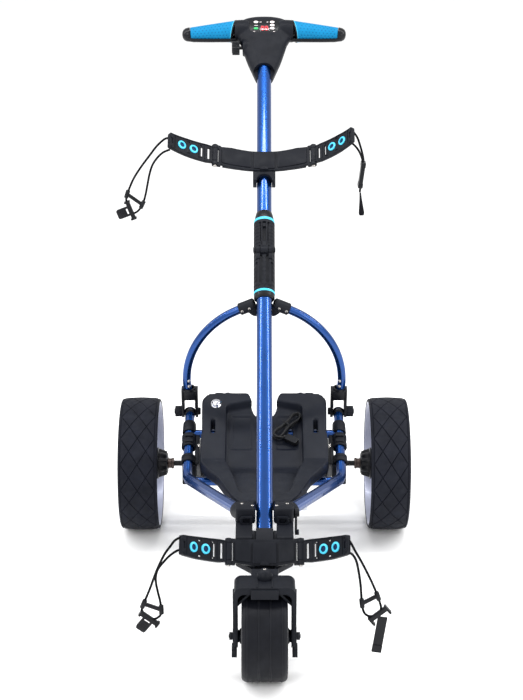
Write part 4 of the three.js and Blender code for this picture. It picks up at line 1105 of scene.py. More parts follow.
def cradle_arm(name, size, word, side):
    radius = size["radius"]
    hinge_angle = asin(size["hinge"] / radius)
    hinge = Vector((radius * sin(hinge_angle), -radius + radius * cos(hinge_angle), 0))
    rest = size["turn"][0 if side < 0 else 1]
    swing = at(side * hinge.x, hinge.y, 0) @ turn("Z", side * rest) @ mirror(side) @ at(-hinge.x,
            -hinge.y, 0)
    body = f"{name}_{word}_arm"
    length, eye = ARM_LENGTH, 17
    outline = rounded([(2, -20), (20, -22), (70, -21), (length - 8, -18.5), (length, -13),
                       (length, 14),
                       (length - 8, 20), (60, 21), (20, 22), (2, 20)], 3)
    holes = [rounded(rectangle(12.5, 18, -15, 15), 1.2), rounded(rectangle(29, 34, -13, 13), 1),
             circle(5.2, 24), circle(5.2, 24), rounded(rectangle(61, 69, 13.4, 16.4), 0.8),
             rounded(rectangle(61, 69, -16.4, -13.4), 0.8),
             rounded(rectangle(32, 36.5, 14, 16.8), 0.6),
             rounded(rectangle(32, 36.5, -16.8, -14), 0.6)]
    for index, x in zip((2, 3), EYELETS):
        holes[index] = [(u + x, v) for u, v in holes[index]]
    parts = [strip(outline, -2.8, 2.8, radius, 0.7, holes, 5.0, hinge_angle)]
    for s in (-1, 1):
        flange = rounded([(4, s * 18.6), (20, s * 20), (70, s * 19.2), (length - 7, s * 16.6),
                          (length - 2, s * 15.6),
                          (length - 7, s * 19.2), (70, s * 21.6), (20, s * 22.4), (4, s * 20.6)],
                          0.8)
        parts.append(strip(flange, -4, 4.2, radius, 0.5, (), 5.0, hinge_angle))
    for x0, x1 in ((22, 25.5), (37, 39.6), (length - 19, length - 16)):
        parts.append(strip(rounded(rectangle(x0, x1, -17.5, 17.5), 0.7), -4, 3.6, radius, 0.5, (),
                           5.0, hinge_angle))
    tip = strip(rounded(rectangle(length - 12, length - 1, -18.5, 19), 3), -4.6, 4.6, radius, 1.6,
                [rounded(rectangle(length - 9.4, length - 4, -7, 7), 1.5)], 5.0, hinge_angle)
    parts.append(tip)
    for z in (-12, 12):
        parts.append(strip(circle_at(length - 5.5, z, 4.2), -5.4, 5.0, radius, 0.9, (), 3.0,
                           hinge_angle))
    parts.append(placed(rod(7, -eye, eye, 0.8), at(hinge.x, hinge.y, 0)))
    parts.append(strip(rectangle(9.5, 12, -19, 19), -3.6, 3.6, radius, 0.6, (), 3.0, hinge_angle))
    piece(f"{name}_cradle_arm_{word}_detail", PLASTIC, body,
          [placed(p, size["place"] @ swing) for p in parts], [f"{name}_cradle_arm_{word}"])
    for kind, finish, is_ring in (("ring", AQUA, True), ("eye", DEEP, False)):
        shapes = []
        for x in EYELETS:
            shape = placed(eyelet(is_ring), at(x, 0, 0), turn("X", -90))
            shapes.append(warped(shape, bend_to(radius, hinge_angle)))
        piece(f"{name}_arm_{kind}_{word}", finish, body,
              [placed(p, size["place"] @ swing) for p in shapes])


def circle_at(x, y, radius, count=24):
    return [(x + u, y + v) for u, v in circle(radius, count)]


for cradle_name, cradle_size in CRADLES.items():
    cradle_band(cradle_name, cradle_size)
    for side_word, side_sign in SIDES:
        cradle_arm(cradle_name, cradle_size, side_word, side_sign)


# ---- support arch ----
def ridged(half_width, half_height, ridges=8, depth=0.045, count=64):
    """An oval tube section with shallow ridges along it."""
    return [(half_width * cos(a) * (1 + depth * cos(ridges * a)),
             half_height * sin(a) * (1 + depth * cos(ridges * a)))
            for a in (2 * pi * i / count for i in range(count))]


def arch_path():
    sweep_angle, arc_radius = radians(66), 197
    straight_top = ARCH_HEIGHT + 4.2 - arc_radius * sin(sweep_angle)
    centre = PIVOT[0] + 5.5 - arc_radius

    def arc(a):
        return Vector((centre + arc_radius * cos(a), 0, straight_top + arc_radius * sin(a)))
    along = Vector((-sin(sweep_angle), 0, cos(sweep_angle)))
    end = arc(sweep_angle)
    points = [Vector((PIVOT[0], 0, 40)), Vector((PIVOT[0] + 3.96, 0, (40 + straight_top) / 2)),
              *[arc(sweep_angle * i / 8) for i in range(9)], end + along * 14]
    return smooth_path(points, 5), end, along


def support_arch():
    path, end, along = arch_path()
    bolts = []
    for word, side in SIDES:
        place = ARCH @ mirror(side)
        tube_piece = sweep(path, ridged(9.3, 9.6, 6, 0.02, 48), side=(0, 1, 0))
        piece(f"arch_tube_{word}_detail", BLUE, "support_arch",
              [placed(tube_piece, place)],
              [f"arch_tube_{word}"])
        for z in (72, 86):
            bolts.append(placed(screw(3.4, 1.6, False), place, at(PIVOT[0] + 0.6, -9.0, z),
                                FACE_FRONT))
        cheek = slab(rounded([(-11, 62), (11, 62), (11, 30), (13.6, 8), (13, -5), (7, -13),
                              (-7, -13), (-13, -5),
                              (-13.6, 8), (-11, 30)], 4), -3, 3, 0.9)
        cheeks = []
        for offset in (-15.2, 15.2):
            cheeks.append(placed(cheek.copy(), at(PIVOT[0] + offset, 0, 0), STAND_X))
        collar = box((PIVOT[0] - 17, PIVOT[0] + 17), (-11, 11), (35, 61), 2)
        collar = carved(collar, placed(rod(9.9, 20, 80, 0, 40), at(PIVOT[0], 0, 0)))
        rim = placed(ring_lathe([(9.9, 58), (12.6, 58), (13.2, 59), (12.8, 64), (9.9, 64)], 40),
                     at(PIVOT[0] + 0.4, 0, 0))
        plates = [box((PIVOT[0] + x - 1, PIVOT[0] + x + 1), (-9, 9), (14, 33), 0.6) for x in (-11.9,
                11.9)]
        piece(f"arch_clevis_{word}_detail", GLOSS, "support_arch",
              [placed(p, place) for p in (*cheeks, edged(collar, 0.6), rim)],
              [f"arch_clevis_{word}"])
        piece(f"arch_clevis_plates_{word}", STEEL, "support_arch",
              [placed(p, place) for p in plates])
        face = slab(lobed(11.7, 0.45, 18, 6), 18.8, 33.2, 1.8)
        hub = lathe([(0, 33), (6, 33), (6.4, 34), (5.4, 35), (3, 35.2), (2.6, 34.4), (0, 34.4)], 32)
        inner = lathe([(0, -18.4), (8, -18.4), (8.2, -19), (8.2, -22.6), (7.2, -23.6), (0, -23.6)],
                      32)
        shaft = rod(4, -20, 20, 0.4)
        piece(f"pivot_knob_{word}_detail", PLASTIC, f"{word}_pivot_knob",
              [placed(p, place, at(PIVOT[0], 0, 0), UP_X) for p in (face, hub, inner, shaft)],
              [f"pivot_knob_{word}"])
    connector(end, along, bolts)


def connector(end, along, bolts):
    """The yoke that takes both arch tubes and the mast's hinge lug."""
    parts = []
    for side in (-1, 1):
        direction = Vector((along.x, 0, along.z))
        tilt = direction.to_track_quat("Z", "Y").to_matrix().to_4x4()
        sleeve = ring_lathe([(9.8, -5), (12.6, -5), (13.5, -3.5), (13.5, 28), (12, 30), (9.8, 30)],
                            48)
        parts.append(placed(sleeve, mirror(side), at(*(end + direction * 6)), tilt))
        gusset = slab(rounded([(9, ARCH_HEIGHT - 9), (24, ARCH_HEIGHT - 7), (34, ARCH_HEIGHT + 1),
                               (30, ARCH_HEIGHT + 14), (20, ARCH_HEIGHT + 16),
                               (9, ARCH_HEIGHT + 8)], 3), -7.5, 8, 1.4)
        parts.append(placed(gusset, mirror(side), FACE_FRONT))
        parts.append(placed(rod(10, 8.4, 17, 0.9), mirror(side), at(0, 0, ARCH_HEIGHT), UP_X))
        for distance in (7, 24):
            spot = end + direction * distance
            bolts.append(placed(screw(3.1, 1.5), ARCH @ mirror(side), at(spot.x, -13.0, spot.z),
                                FACE_FRONT))
        bolts.append(placed(screw(4.6, 2.4), ARCH @ mirror(side), at(17, 0, ARCH_HEIGHT), UP_X))
    piece("y_connector_detail", PLASTIC, "support_arch",
          [placed(p, ARCH) for p in parts],
          ["y_connector"])
    piece("arch_screws", STEEL, "support_arch", bolts)


support_arch()


# ---- lower frame ----
def on_frame(y):
    return Vector((PIVOT[0], y, 204 + (y + 203) / 173 * 86))


FRAME_RISE = Vector((0, 173, 86)).normalized()
ALONG_FRAME = FRAME_RISE.to_track_quat("Z", "Y").to_matrix().to_4x4()


def lower_frame():
    route = bent((40, -474, 250), (166, -203, 204), PIVOT, 48)
    steel, black = [], []
    for word, side in SIDES:
        section = ridged(10.4, 12.4, 10, 0.028, 80)
        piece(f"frame_tube_{word}_detail", BLUE, "chassis",
              [placed(sweep(route, section, side=(1, 0, 0)), mirror(side))], [f"frame_tube_{word}"])
        end_cap = rod(12.4, -4, 10, 1.4)
        end_cap = placed(end_cap, mirror(side), at(*on_frame(-36)), ALONG_FRAME)
        black.append(end_cap)
        disc = lathe([(0, 9), (10.2, 9), (10.2, 14.4), (9.2, 15.5), (5, 15.7), (0, 15.2)], 40)
        black.append(placed(disc, mirror(side), at(*PIVOT), FACE_FRONT))
    for word, y, drop in (("rear", -86, 4), ("front", -207, 3)):
        z = on_frame(y).z - drop
        piece(f"cross_tube_{word}_detail", BLUE, "chassis",
              [placed(rod(9.5, -155, 155, 0.4, 48), at(0, y, z), UP_X)], [f"cross_tube_{word}"])
    for word, side in SIDES:
        profile = rounded([(-34, 132), (-12, 116), (14, 118), (32, 144), (26, 174),
                           (-96, on_frame(-96).z + 4),
                           (-168, on_frame(-168).z), (-150, on_frame(-150).z - 22)], 6)
        window = rounded([(-30, 150), (-52, 178), (-104, 214), (-128, 206), (-60, 156)], 4)
        plate = placed(slab(profile, 141.5, 151.5, 1.4, [window]), STAND_X)
        rib = placed(slab(rounded([(-30, 136), (-10, 122), (12, 124), (24, 146), (10, 168),
                                   (-20, 166)], 4), 150, 155,
                          1.2, [circle_at(0, 150, 14)]), STAND_X)
        sleeve = ring_lathe([(12.6, -17), (15.2, -17), (16, -15.5), (16, -6), (15.2, -5), (15.2, 5),
                             (16, 6),
                             (16, 15.5), (15.2, 17), (12.6, 17)], 48)
        band = ring_lathe([(12.6, -9), (15, -9), (15.6, -8), (15.6, -3), (14.6, -2), (14.6, 2),
                           (15.6, 3), (15.6, 8),
                           (15, 9), (12.6, 9)], 48)
        socket = ring_lathe([(12.6, -26), (14.6, -26), (15.4, -24), (14.4, 0), (13.4, 3),
                             (12.6, 3)], 48)
        boss = ring_lathe([(6.8, 141), (16, 141), (17, 143), (17, 168), (14.5, 171), (13, 184),
                           (11.5, 185.5),
                           (6.8, 185.5)], 48)
        foot = box((147, 178), (-172, -140), (on_frame(-158).z - 52, on_frame(-158).z - 6), 3)
        parts = [plate, rib, placed(sleeve, at(*on_frame(-112)), ALONG_FRAME),
                 placed(band, at(*on_frame(-158)), ALONG_FRAME),
                 placed(socket, at(*on_frame(-66)), ALONG_FRAME),
                 placed(boss, at(0, 0, AXLE_Z), UP_X), edged(foot, 0.4)]
        for z in (-8, 8):
            lug = placed(box((-9, 9), (-3, 3), (-4, 4), 1), at(*on_frame(-112)), ALONG_FRAME,
                         at(0, 15.6, z))
            parts.append(lug)
        piece(f"axle_bracket_{word}_detail", PLASTIC, "chassis",
              [placed(p, mirror(side)) for p in parts], [f"axle_bracket_{word}"])
        up = ALONG_FRAME @ turn("X", 90)
        for dx in (-4.5, 4.5):
            black.append(placed(screw(2.2, 1), mirror(side), at(*on_frame(-112)), up,
                                at(dx, 0, 16)))
        black.append(placed(screw(3, 1.4), mirror(side), at(*on_frame(-158)), up, at(0, 0, 15)))
        thumb = at(*(on_frame(-122) + Vector((-15, 0, 0)))) @ turn("Y", -90)
        steel.append(placed(rod(2.2, 0, 10, 0.4), mirror(side), thumb))
        steel.append(placed(slab(lobed(4.6, 0.4, 10, 4), 5, 9, 0.6), mirror(side), thumb))
        steel.append(placed(rod(3.4, -18.8, 18.8, 0.4), mirror(side), at(*PIVOT), UP_X))
    piece("frame_small_parts", GLOSS, "chassis", black)
    piece("frame_screws", STEEL, "chassis", steel)

    motors = []
    for side in (-1, 1):
        motor = lathe([(0, 56), (30, 56), (35, 58), (37, 61), (37, 66), (36, 67), (36, 92),
                       (37, 93), (37, 98), (36, 99),
                       (36, 134), (37, 135), (37, 140), (0, 140)], 56)
        motors.append(placed(motor, mirror(side), at(0, 0, AXLE_Z), UP_X))
        gear = slab(rounded([(-46, 122), (24, 120), (28, 150), (20, 190), (-40, 188)], 8), 98, 140,
                    2.5)
        motors.append(placed(gear, mirror(side), STAND_X))
        for k in range(6):
            a = 2 * pi * k / 6 + 0.3
            motors.append(placed(screw(2.4, 1.2), mirror(side),
                                 at(56, 26 * cos(a), AXLE_Z + 26 * sin(a)), turn("Y", -90)))
    motors.append(placed(lathe([(0, -60), (12, -60), (12, -40), (10.5, -38), (10.5, 38), (12, 40),
                                (12, 60), (0, 60)], 40),
                         at(0, 0, AXLE_Z), UP_X))
    piece("drive_unit_detail", METAL, "chassis", motors, ["drive_unit"])


lower_frame()


# ---- rear wheels ----
TREAD_INNER, TREAD_OUTER = 235, 322
REAR_RADIUS = 150
TYRE_SEAT = 139.5
DIAMONDS = 16


def diamond_tread():
    """Raised diamonds with narrow grooves, made flat as [round, across, high], then wrapped."""
    pitch = 2 * pi * REAR_RADIUS / DIAMONDS
    width = TREAD_OUTER - TREAD_INNER - 12
    half = width / 4
    bm = bmesh.new()
    for k in range(DIAMONDS):
        for centre_v, shift in ((1, 0), (3, 0), (2, 0.5), (0, 0.5), (4, 0.5)):
            u = (k + shift) * pitch
            v = centre_v * half
            corners = [(u - pitch / 2, v), (u, v - half), (u + pitch / 2, v), (u, v + half)]
            if centre_v == 0:
                corners = [corners[0], corners[2], corners[3]]
            elif centre_v == 4:
                corners = corners[:3]
            bm.faces.new([bm.verts.new((a, b, -1.7)) for a, b in corners])
    bmesh.ops.remove_doubles(bm, verts=bm.verts, dist=0.01)
    bmesh.ops.recalc_face_normals(bm, faces=bm.faces)
    if bm.faces[:][0].normal.z < 0:
        bmesh.ops.reverse_faces(bm, faces=bm.faces)
    bmesh.ops.inset_individual(bm, faces=bm.faces[:], thickness=1.25, depth=1.7,
                               use_even_offset=True)
    step = pitch / 8
    sliced(bm, [(i - 4 + 0.5) * step for i in range(DIAMONDS * 8 + 8)])
    sliced(bm, [half * 0.35, half * 3.65], 1)

    def wrap(co):
        angle = co.x / REAR_RADIUS
        crown = 2.2 * abs(co.y / (2 * half) - 1) ** 3
        radius = REAR_RADIUS - crown + co.z
        return Vector((TREAD_INNER + 6 + co.y, radius * cos(angle), radius * sin(angle)))
    for v in bm.verts:
        v.co = wrap(v.co)
    bmesh.ops.remove_doubles(bm, verts=bm.verts, dist=0.02)
    for inner, outward in ((True, -1), (False, 1)):
        edge_x = TREAD_INNER + 6 if inner else TREAD_OUTER - 6
        loop = [e for e in bm.edges if e.is_boundary and all(abs(v.co.x - edge_x) < 1 for v in e.verts)]
        face_x = TREAD_INNER if inner else TREAD_OUTER
        for x, radius in ((face_x - outward * 3.6, 147.2), (face_x - outward * 1.2, 145.4),
                          (face_x, 143.2),
                          (face_x - outward * 0.6, 141), (face_x - outward * 2.4, TYRE_SEAT)):
            made = bmesh.ops.extrude_edge_only(bm, edges=loop)["geom"]
            verts = [g for g in made if isinstance(g, bmesh.types.BMVert)]
            for v in verts:
                scale = radius / hypot(v.co.y, v.co.z)
                v.co = Vector((x, v.co.y * scale, v.co.z * scale))
            fresh = set(verts)
            loop = [g for g in made if isinstance(g,
                                                  bmesh.types.BMEdge) and all(v in fresh for v in g.verts)]
    seat = [e for e in bm.edges if e.is_boundary]
    bmesh.ops.bridge_loops(bm, edges=seat)
    bmesh.ops.recalc_face_normals(bm, faces=bm.faces)
    return bm


def rear_rim():
    seat = TYRE_SEAT - 0.3
    barrel = ring_lathe([(seat - 3.4, 240), (seat - 1, 236.6), (seat + 2.6, 236),
                         (seat + 3.4, 237.4), (seat, 239.5),
                         (seat, 317.5), (seat + 3.4, 319.6), (seat + 2.6, 321), (seat - 1, 320.4),
                         (seat - 3.4, 317),
                         (seat - 4.5, 300), (seat - 9, 282), (seat - 9, 268), (seat - 5.5, 255)],
                         96)
    windows = []
    for k in range(5):
        middle = 2 * pi * k / 5
        corners = []
        for r, spread in ((58, 0.30), (112, 0.40)):
            count = 5
            span = [middle - spread + 2 * spread * i / count for i in range(count + 1)]
            ring = [(r * cos(a), r * sin(a)) for a in span]
            corners += ring if r == 58 else ring[::-1]
        windows.append(rounded(corners, 6, 3))
    web = slab(circle(seat - 6, 96), 269, 277.5, 1.6, windows)
    web = warped(web, lambda co: Vector((co.x, co.y, co.z + 5 * (1 - min(1,
            hypot(co.x, co.y) / 130)) ** 2)))
    spokes = []
    for k in range(5):
        angle = 360 * (k + 0.5) / 5
        rib = slab(rounded([(34, -5.5), (128, -8), (128, 8), (34, 5.5)], 2), 265, 281, 2.2)
        spokes.append(placed(rib, turn("Z", angle)))
    hub = ring_lathe([(24, 247), (33, 247), (35.5, 249), (36.5, 268), (40, 279), (36, 288),
                      (33, 290.5), (24, 290.5)], 64)
    cap = lathe([(0, 294), (10, 293.8), (20, 292.5), (24, 289), (24, 284), (0, 284)], 48)
    return [barrel, web, *spokes, hub], cap


def rear_hub():
    ribs = slab(lobed(30, 2.6, 9, 8, 0.7), 220.5, 240, 1.4)
    ribs = warped(ribs, lambda co: Vector((co.x * (1 + (co.z - 236) * 0.0105),
                                           co.y * (1 + (co.z - 236) * 0.0105), co.z)))
    flange = lathe([(0, 238.5), (33, 238.5), (35.5, 240), (35.5, 243), (34, 244.2), (23.6, 244.2),
                    (23.6, 288), (0, 288)], 64)
    front = lathe([(0, 218), (20, 218), (23, 219), (24.5, 222), (0, 222)], 48)
    shaft = lathe([(0, 141), (6.3, 141), (6.3, 206.5), (0, 206.5)], 32)
    bush = lathe([(6.2, 205), (11.5, 205), (12.6, 206), (12.6, 209.5), (11.2, 210.5), (11.2, 216),
                  (12.6, 217), (12.6, 219),
                  (6.2, 219)], 40, True)
    return [ribs, flange, front, shaft], bush


def rear_wheels():
    for word, side in SIDES:
        place = at(0, 0, AXLE_Z) @ mirror(side)
        body = f"{word}_rear_wheel"
        piece(f"rear_tyre_{word}_detail", TYRE, body, [placed(diamond_tread(), place)],
              [f"rear_tyre_{word}"], 24)
        rim, cap = rear_rim()
        piece(f"rear_rim_{word}_detail", RIM, body, [placed(p, place, UP_X) for p in rim],
              [f"rear_rim_{word}"])
        hub, bush = rear_hub()
        piece(f"rear_hub_{word}_detail", GLOSS, body,
              [placed(p, place, UP_X) for p in (*hub, cap)], [f"rear_hub_{word}"])
        piece(f"rear_bush_{word}", BRASS, body, [placed(bush, place, UP_X)])


rear_wheels()


# ---- front end ----
FORK_Y = -670
FORK_AXLE_Z = 87


def front_bracket():
    neck = slab(rounded([(57, -485), (57, -530), (26, -565), (26, -611), (-26, -611), (-26, -565),
                         (-57, -530),
                         (-57, -485)], 5), 164, 176, 2)
    ridge = [box((x - 2, x + 2), (-608, -500), (175, 180), 1) for x in (-20, 20)]
    parts = [neck, *ridge]
    bolts = []
    for side in (-1, 1):
        rail = slab(rounded([(-432, 224), (-432, 246), (-535, 228), (-535, 166), (-500, 166),
                             (-500, 206)], 5), 24, 57, 2)
        parts.append(placed(rail, mirror(side), STAND_X))
        socket = ring_lathe([(10.6, -14), (15.5, -14), (17.5, -12), (17.5, 16), (15.6, 19),
                             (10.6, 19)], 48)
        axis = Vector((126, 271, -46)).normalized().to_track_quat("Z", "Y").to_matrix().to_4x4()
        parts.append(placed(socket, mirror(side), at(44, -465, 248.5), axis, at(0, 0, 6)))
        body = box((18, 58), (-485, -448), (232, 267), 6, 4)
        parts.append(placed(body, mirror(side)))
        ring_outline = rounded([(-12, -9), (9, -9), (13, -4), (13, 6), (9, 10), (-12, 10)], 3)
        hole = rounded([(-7, -4), (6, -4), (8, -1), (8, 3), (5, 5.5), (-7, 5.5)], 1.5)
        hook = slab(ring_outline, 0, 7, 1.2, [hole])
        parts.append(placed(hook, mirror(side), at(36, -485, 242), FACE_FRONT))
        for x, y, z in ((24, -470, 266.5), (45, -461, 266.5)):
            bolts.append(placed(screw(3.3, 1.8), mirror(side), at(x, y, z)))
        bolts.append(placed(screw(3.4, 2), mirror(side), at(57, -515, 214), UP_X))
    piece("front_bracket_detail", PLASTIC, "chassis", parts, ["front_bracket"])
    bolts += [placed(screw(3.6, 2), at(x, y, 176)) for x, y in ((-12, -596), (12, -596))]
    piece("front_bracket_screws", STEEL, "chassis", bolts)


def front_fork():
    leg, top = 51, 203
    outer = rounded([(-leg - 7, 150), (-leg - 7, top - 8), (-leg + 2, top), (leg - 2, top),
                     (leg + 7, top - 8),
                     (leg + 7, 150), (leg, 150), (leg, 181), (leg - 8, 189), (-leg + 8, 189),
                     (-leg, 181), (-leg, 150)], 7, 5)
    bridge = slab(outer, -FORK_Y - 26, -FORK_Y + 26, 2.2)
    parts = [placed(bridge, FACE_FRONT)]
    lip = slab(rounded([(-23, 185), (23, 185), (26, 194), (-26, 194)], 2), -FORK_Y - 6,
               -FORK_Y + 29, 1.5)
    parts.append(placed(lip, FACE_FRONT))
    for side in (-1, 1):
        plate = slab(rounded([(FORK_Y - 18, 190), (FORK_Y + 26, 190), (FORK_Y + 22, 75),
                              (FORK_Y, 61),
                              (FORK_Y - 18, 75)], 5), leg, leg + 7, 1.4)
        parts.append(placed(plate, mirror(side), STAND_X))
        rib = slab(rounded([(FORK_Y - 6, 186), (FORK_Y + 6, 186), (FORK_Y + 5, 108),
                            (FORK_Y - 5, 108)], 3), leg + 5,
                   leg + 9.5, 1.2)
        parts.append(placed(rib, mirror(side), STAND_X))
        side_plate = slab(rounded([(FORK_Y - 14, 112), (FORK_Y + 15, 112), (FORK_Y + 15, 70),
                                   (FORK_Y + 11, 62),
                                   (FORK_Y - 11, 62), (FORK_Y - 15, 70)], 4), leg + 4, leg + 9.6,
                                   1.2)
        parts.append(placed(side_plate, mirror(side), STAND_X))
        shoe = slab(rounded([(FORK_Y - 13, 66), (FORK_Y + 13, 66), (FORK_Y + 12, 46),
                             (FORK_Y - 12, 46)], 3), leg + 2,
                    leg + 12, 1.6)
        parts.append(placed(shoe, mirror(side), STAND_X))
        boss = ring_lathe([(5.4, leg - 5), (9, leg - 5), (13, leg), (13, leg + 9), (12, leg + 10),
                           (5.4, leg + 10)], 40)
        parts.append(placed(boss, mirror(side), at(0, FORK_Y, FORK_AXLE_Z), UP_X))
        gusset = slab(rounded([(leg - 30, 190), (leg - 24, 190), (leg + 2, 163), (leg + 2, 157)],
                              1.4), -FORK_Y - 16,
                      -FORK_Y + 16, 0.9)
        parts.append(placed(gusset, mirror(side), FACE_FRONT))
    web = placed(slab([(-612.5, 158), (-617, 158), (-640, 174), (-652, 179), (-700, 181),
                       (-700, 200), (-612.5, 200)],
                      -26, 26, 1.5), STAND_X)
    parts.append(web)
    for x in (-14, 14):
        parts.append(box((x - 1.5, x + 1.5), (-694, -630), (200, 205), 0.8))
    cap = lathe([(0, 222), (7, 221), (12, 217), (14.5, 210), (15, 203), (16.5, 202), (16.5, 200),
                 (0, 200)], 48)
    parts.append(placed(cap, at(0, -655, 0)))
    piece("front_fork_detail", PLASTIC, "chassis", parts, ["front_fork"])
    bolt = [placed(rod(5, -65, 65, 0.5), at(0, FORK_Y, FORK_AXLE_Z), UP_X)]
    for side in (-1, 1):
        head = slab(circle(8.6, 6), 61.2, 67.6, 0.8)
        tip = lathe([(0, 69), (3.6, 68.6), (4.6, 67), (4.6, 66), (0, 66)], 24)
        bolt += [placed(p, at(0, FORK_Y, FORK_AXLE_Z), mirror(side), UP_X) for p in (head, tip)]
    piece("front_axle_detail", METAL, "chassis", bolt, ["front_axle"])
    piece("fork_cap_screw", STEEL, "chassis", [placed(screw(3.2, 1.4),
            at(0, -655, 221.6))])


def front_wheel():
    place = at(0, FORK_Y, FORK_AXLE_Z)
    half = 44
    ribs = [-33, -11, 11, 33]
    tread = [(-half + 8, 86.2)]
    for x in ribs:
        tread += [(x - 2.2, 86), (x - 1.2, 87), (x + 1.2, 87), (x + 2.2, 86)]
    tread.append((half - 8, 86.2))
    profile = [(65, -half + 2), (68, -half + 0.4), (73, -half), (78, -half + 0.2),
               (82, -half + 1.6), (84.6, -half + 4)]
    profile += [(r, x) for x, r in tread]
    profile += [(84.6, half - 4), (82, half - 1.6), (78, half - 0.2), (73, half), (68, half - 0.4),
                (65, half - 2)]
    tyre = ring_lathe(profile, 96)
    piece("front_tyre_detail", FRONT_TYRE, "front_wheel", [placed(tyre, place, UP_X)],
          ["front_tyre"], 28)
    hub = [ring_lathe([(5.4, -49), (11, -49), (15, -46), (17, -30), (18, -8), (5.4, -8)], 48),
           ring_lathe([(5.4, 8), (18, 8), (17, 30), (15, 46), (11, 49), (5.4, 49)], 48),
           ring_lathe([(57, -7), (60, -39), (64.6, -41), (64.6, 41), (60, 39), (57, 7)], 80),
           slab(circle(60, 80), -7, 7, 1.2, [circle_at(38 * cos(2 * pi * k / 6),
                                                       38 * sin(2 * pi * k / 6), 11)
                                            for k in range(6)])]
    for k in range(6):
        rib = slab(rounded([(14, -2), (60, -3), (60, 3), (14, 2)], 1), -26, 26, 1.2)
        hub.append(placed(warped(rib, lambda co: Vector((co.x, co.y,
                                                         co.z * (1.25 - 0.25 * co.x / 14 * 0.5)))),
                          turn("Z", 60 * k + 30)))
    piece("front_hub_detail", PLASTIC, "front_wheel",
          [placed(p, place, UP_X) for p in hub], ["front_hub"])


def foot_lock():
    lever = slab(rounded([(-476, 250), (-474, 243), (-466, 203), (-460, 201), (-455, 205),
                          (-460, 246), (-461, 253)], 2.5),
                 60.6, 65, 1)
    pedal = slab(rounded(rectangle(-470, -452, 201, 206), 2), 60.6, 69, 1)
    boss = lathe([(0, 60.4), (8, 60.4), (8.2, 61), (8.2, 68.4), (7.2, 69.3), (3.2, 69.3),
                  (2.8, 68.2), (0, 68.2)], 32)
    piece("foot_lock_lever_detail", METAL, "foot_lock",
          [placed(lever, STAND_X), placed(pedal, STAND_X), placed(boss, at(0, -468, 250), UP_X)],
          ["foot_lock_lever"])


front_bracket()
front_fork()
front_wheel()
foot_lock()


# ---- tray ----
def tray_floor(y):
    return 225.0 if y < TRAY_BREAK_Y else 225 + (y - TRAY_BREAK_Y) / 164 * 86


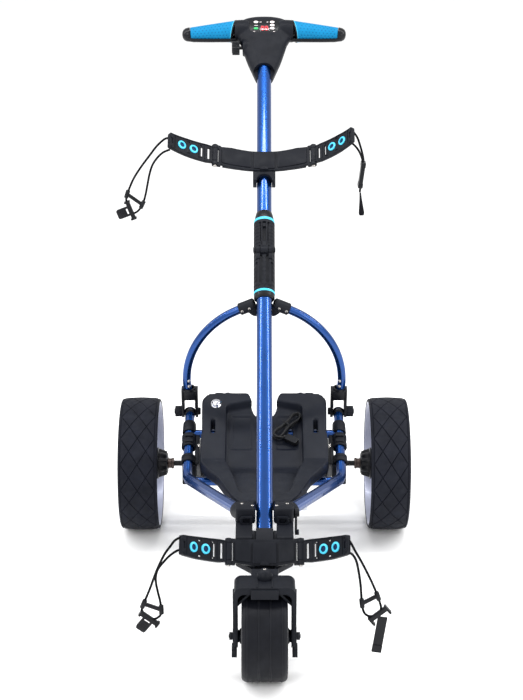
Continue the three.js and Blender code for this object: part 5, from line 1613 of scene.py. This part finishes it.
def tray():
    plan = rounded([(126, -31), (138, -44), (136.5, -110), (133, -120), (138, -132), (138, -197),
                    (126, -226),
                    (100, -271), (66, -370), (48, -392), (-48, -392), (-66, -370), (-100, -271),
                    (-126, -226),
                    (-138, -197), (-138, -132), (-133, -120), (-136.5, -110), (-138, -44),
                    (-126, -31), (-84, -27),
                    (-34, -26), (-20, -66), (20, -66), (34, -26), (84, -27)], 9, 5)
    blank = slab(plan, -40, 60, 0)
    sliced(blank, [-31 - 6 * k for k in range(61)], 1)
    sliced(blank, [-130 + 10 * k for k in range(27)], 0)

    def shape(co):
        base = tray_floor(co.y)
        if co.z < 0:
            return Vector((co.x, co.y, base - 8))
        rise = 20 - 6 * max(0, (-co.y - 195) / 197)
        corner = 3.2 * max(0, 1 - abs(abs(co.x) - 105) / 40) * max(0, (co.y + 130) / 100)
        return Vector((co.x, co.y, base + rise + corner))
    body = warped(blank, shape)

    pocket = slab(rounded([(-84, -58), (-30, -46), (30, -46), (84, -58), (84, -196), (70, -250),
                           (50, -352), (-50, -352),
                           (-70, -250), (-84, -196)], 10, 5), -40, 60, 0)
    sliced(pocket, [-46 - 6 * k for k in range(52)], 1)
    sliced(pocket, [-84 + 12 * k for k in range(15)], 0)

    def hollow(co):
        if co.z > 0:
            return Vector((co.x, co.y, 420))
        hump = 0.0
        if co.y < -200:
            reach = min(1, (-200 - co.y) / 40)
            hump = 9.0 * reach * max(0, 1 - ((abs(co.x) - 36) / 40) ** 2)
        return Vector((co.x, co.y, tray_floor(co.y) + hump))
    pocket = warped(pocket, hollow)
    wells = []
    for x0, x1 in ((-72, -26), (26, 72)):
        well = slab(rounded([(x0, -66), (x1, -66), (x1, -150), (x0, -150)], 6), -40, 60, 0)
        sliced(well, [-66 - 12 * k for k in range(8)], 1)
        wells.append(warped(well, lambda co: Vector((co.x, co.y,
                                                     420 if co.z > 0 else tray_floor(co.y) - 3.2))))
    groove = slab(rounded(rectangle(-14, 14, -400, -214), 6), 219.5, 420, 0)
    slots = [slab(rounded(rectangle(x - 4.5, x + 4.5, -128, -94), 2), 200, 420, 0) for x in (-112,
            112, 58)]
    body = carved(body, pocket, *wells, groove, *slots)
    body = moulded(body, 2.1, 5)
    gland = placed(lathe([(0, -1), (6, -1), (6, 5), (3.4, 9), (0, 9)], 28), SLOPE, at(5, 147, 3.6),
                   turn("X", 90))
    ribs = []
    for x in (-96, -48, 48, 96):
        rib = slab(rounded([(-60, tray_floor(-60) - 7), (-186, tray_floor(-186) - 7),
                            (-186, tray_floor(-186) - 14),
                            (-72, tray_floor(-72) - 14)], 2), x - 1.5, x + 1.5, 0.5)
        ribs.append(placed(rib, STAND_X))
    piece("battery_tray_detail", TRAY, "chassis", [body, gland, *ribs],
          ["battery_tray"], 60)

    stud_at = at(-118, -58, tray_floor(-58) + 24) @ turn("X", TRAY_SLOPE)
    stud = [lathe([(0, 7.4), (4, 7), (7.4, 5.4), (9, 3), (9.2, 0), (0, 0)], 40),
            ring_lathe([(9, -1.2), (12, -1.2), (12.4, 0), (11.4, 1.6), (9, 2)], 40)]
    piece("tray_stud", CHROME, "chassis", [placed(p, stud_at,
                                                           at(12, 0, -2)) for p in stud])
    seat = lathe([(0, -6), (12, -6), (13.2, -4), (12.6, 0), (0, 0)], 40)
    piece("tray_stud_seat", GLOSS, "chassis",
          [placed(seat, stud_at, at(12, 0, -2))])

    z1 = 216.4
    shell = slab(rounded(rectangle(46, 90, -318, -218), 5), z1 - 33.5, z1, 2.5, steps=3)
    lid = slab(rounded(rectangle(48.5, 87.5, -315.5, -220.5), 4), z1 - 35, z1 - 33, 0.8)
    fins = [box((48, 88), (y - 1, y + 1), (z1 - 36.6, z1 - 33), 0.5) for y in range(-308, -224, 12)]
    piece("controller_box_detail", CASE, "chassis", [shell, lid, *fins],
          ["controller_box"])
    gland_box = [placed(lathe([(0, 0), (7, 0), (7, 4), (5, 5), (5, 10), (3, 14), (0, 14)], 24),
                        at(x, -218.5, z1 - 17),
                        turn("X", -90)) for x in (58, 76)]
    piece("controller_glands", GLOSS, "chassis", gland_box)


tray()

# ---- floor and light ----
floor_mesh = bpy.data.meshes.new("floor")
reach = 30
floor_mesh.from_pydata([(-reach, -reach, 0), (reach, -reach, 0), (reach, reach, 0),
                        (-reach, reach, 0)], [],
                       [(0, 1, 2, 3)])
FLOOR = material("pale_floor", (255, 255, 255), 0.9, 0, 0, 0.01, 0.00002, 0.5, 0.01)
floor_mesh.materials.append(FLOOR)
floor = bpy.data.objects.new("floor", floor_mesh)
scene.collection.objects.link(floor)

world = bpy.data.worlds.new("studio")
world.use_nodes = True
world.node_tree.nodes["Background"].inputs["Color"].default_value = (1, 1, 1, 1)
world.node_tree.nodes["Background"].inputs["Strength"].default_value = 1.0
scene.world = world


def area_light(name, place, target, width, height, power):
    data = bpy.data.lights.new(name, "AREA")
    data.shape = "RECTANGLE"
    data.size, data.size_y, data.energy = width, height, power
    made = bpy.data.objects.new(name, data)
    made.location = place
    made.rotation_euler = (Vector(target) - Vector(place)).to_track_quat("-Z", "Y").to_euler()
    scene.collection.objects.link(made)


area_light("ceiling_left", (-1.6, 0.1, 2.7), (-0.2, 0.1, 0.5), 0.2, 4.0, 60)
area_light("ceiling_right", (1.6, 0.1, 2.7), (0.1, 0.1, 0.5), 0.2, 4.0, 60)
area_light("key", (-1.9, -3.2, 2.6), (0, 0, 0.5), 1.8, 1.8, 55)
area_light("fill", (2.6, -2.4, 1.4), (0, 0, 0.4), 1.6, 1.6, 25)

bpy.context.view_layer.update()
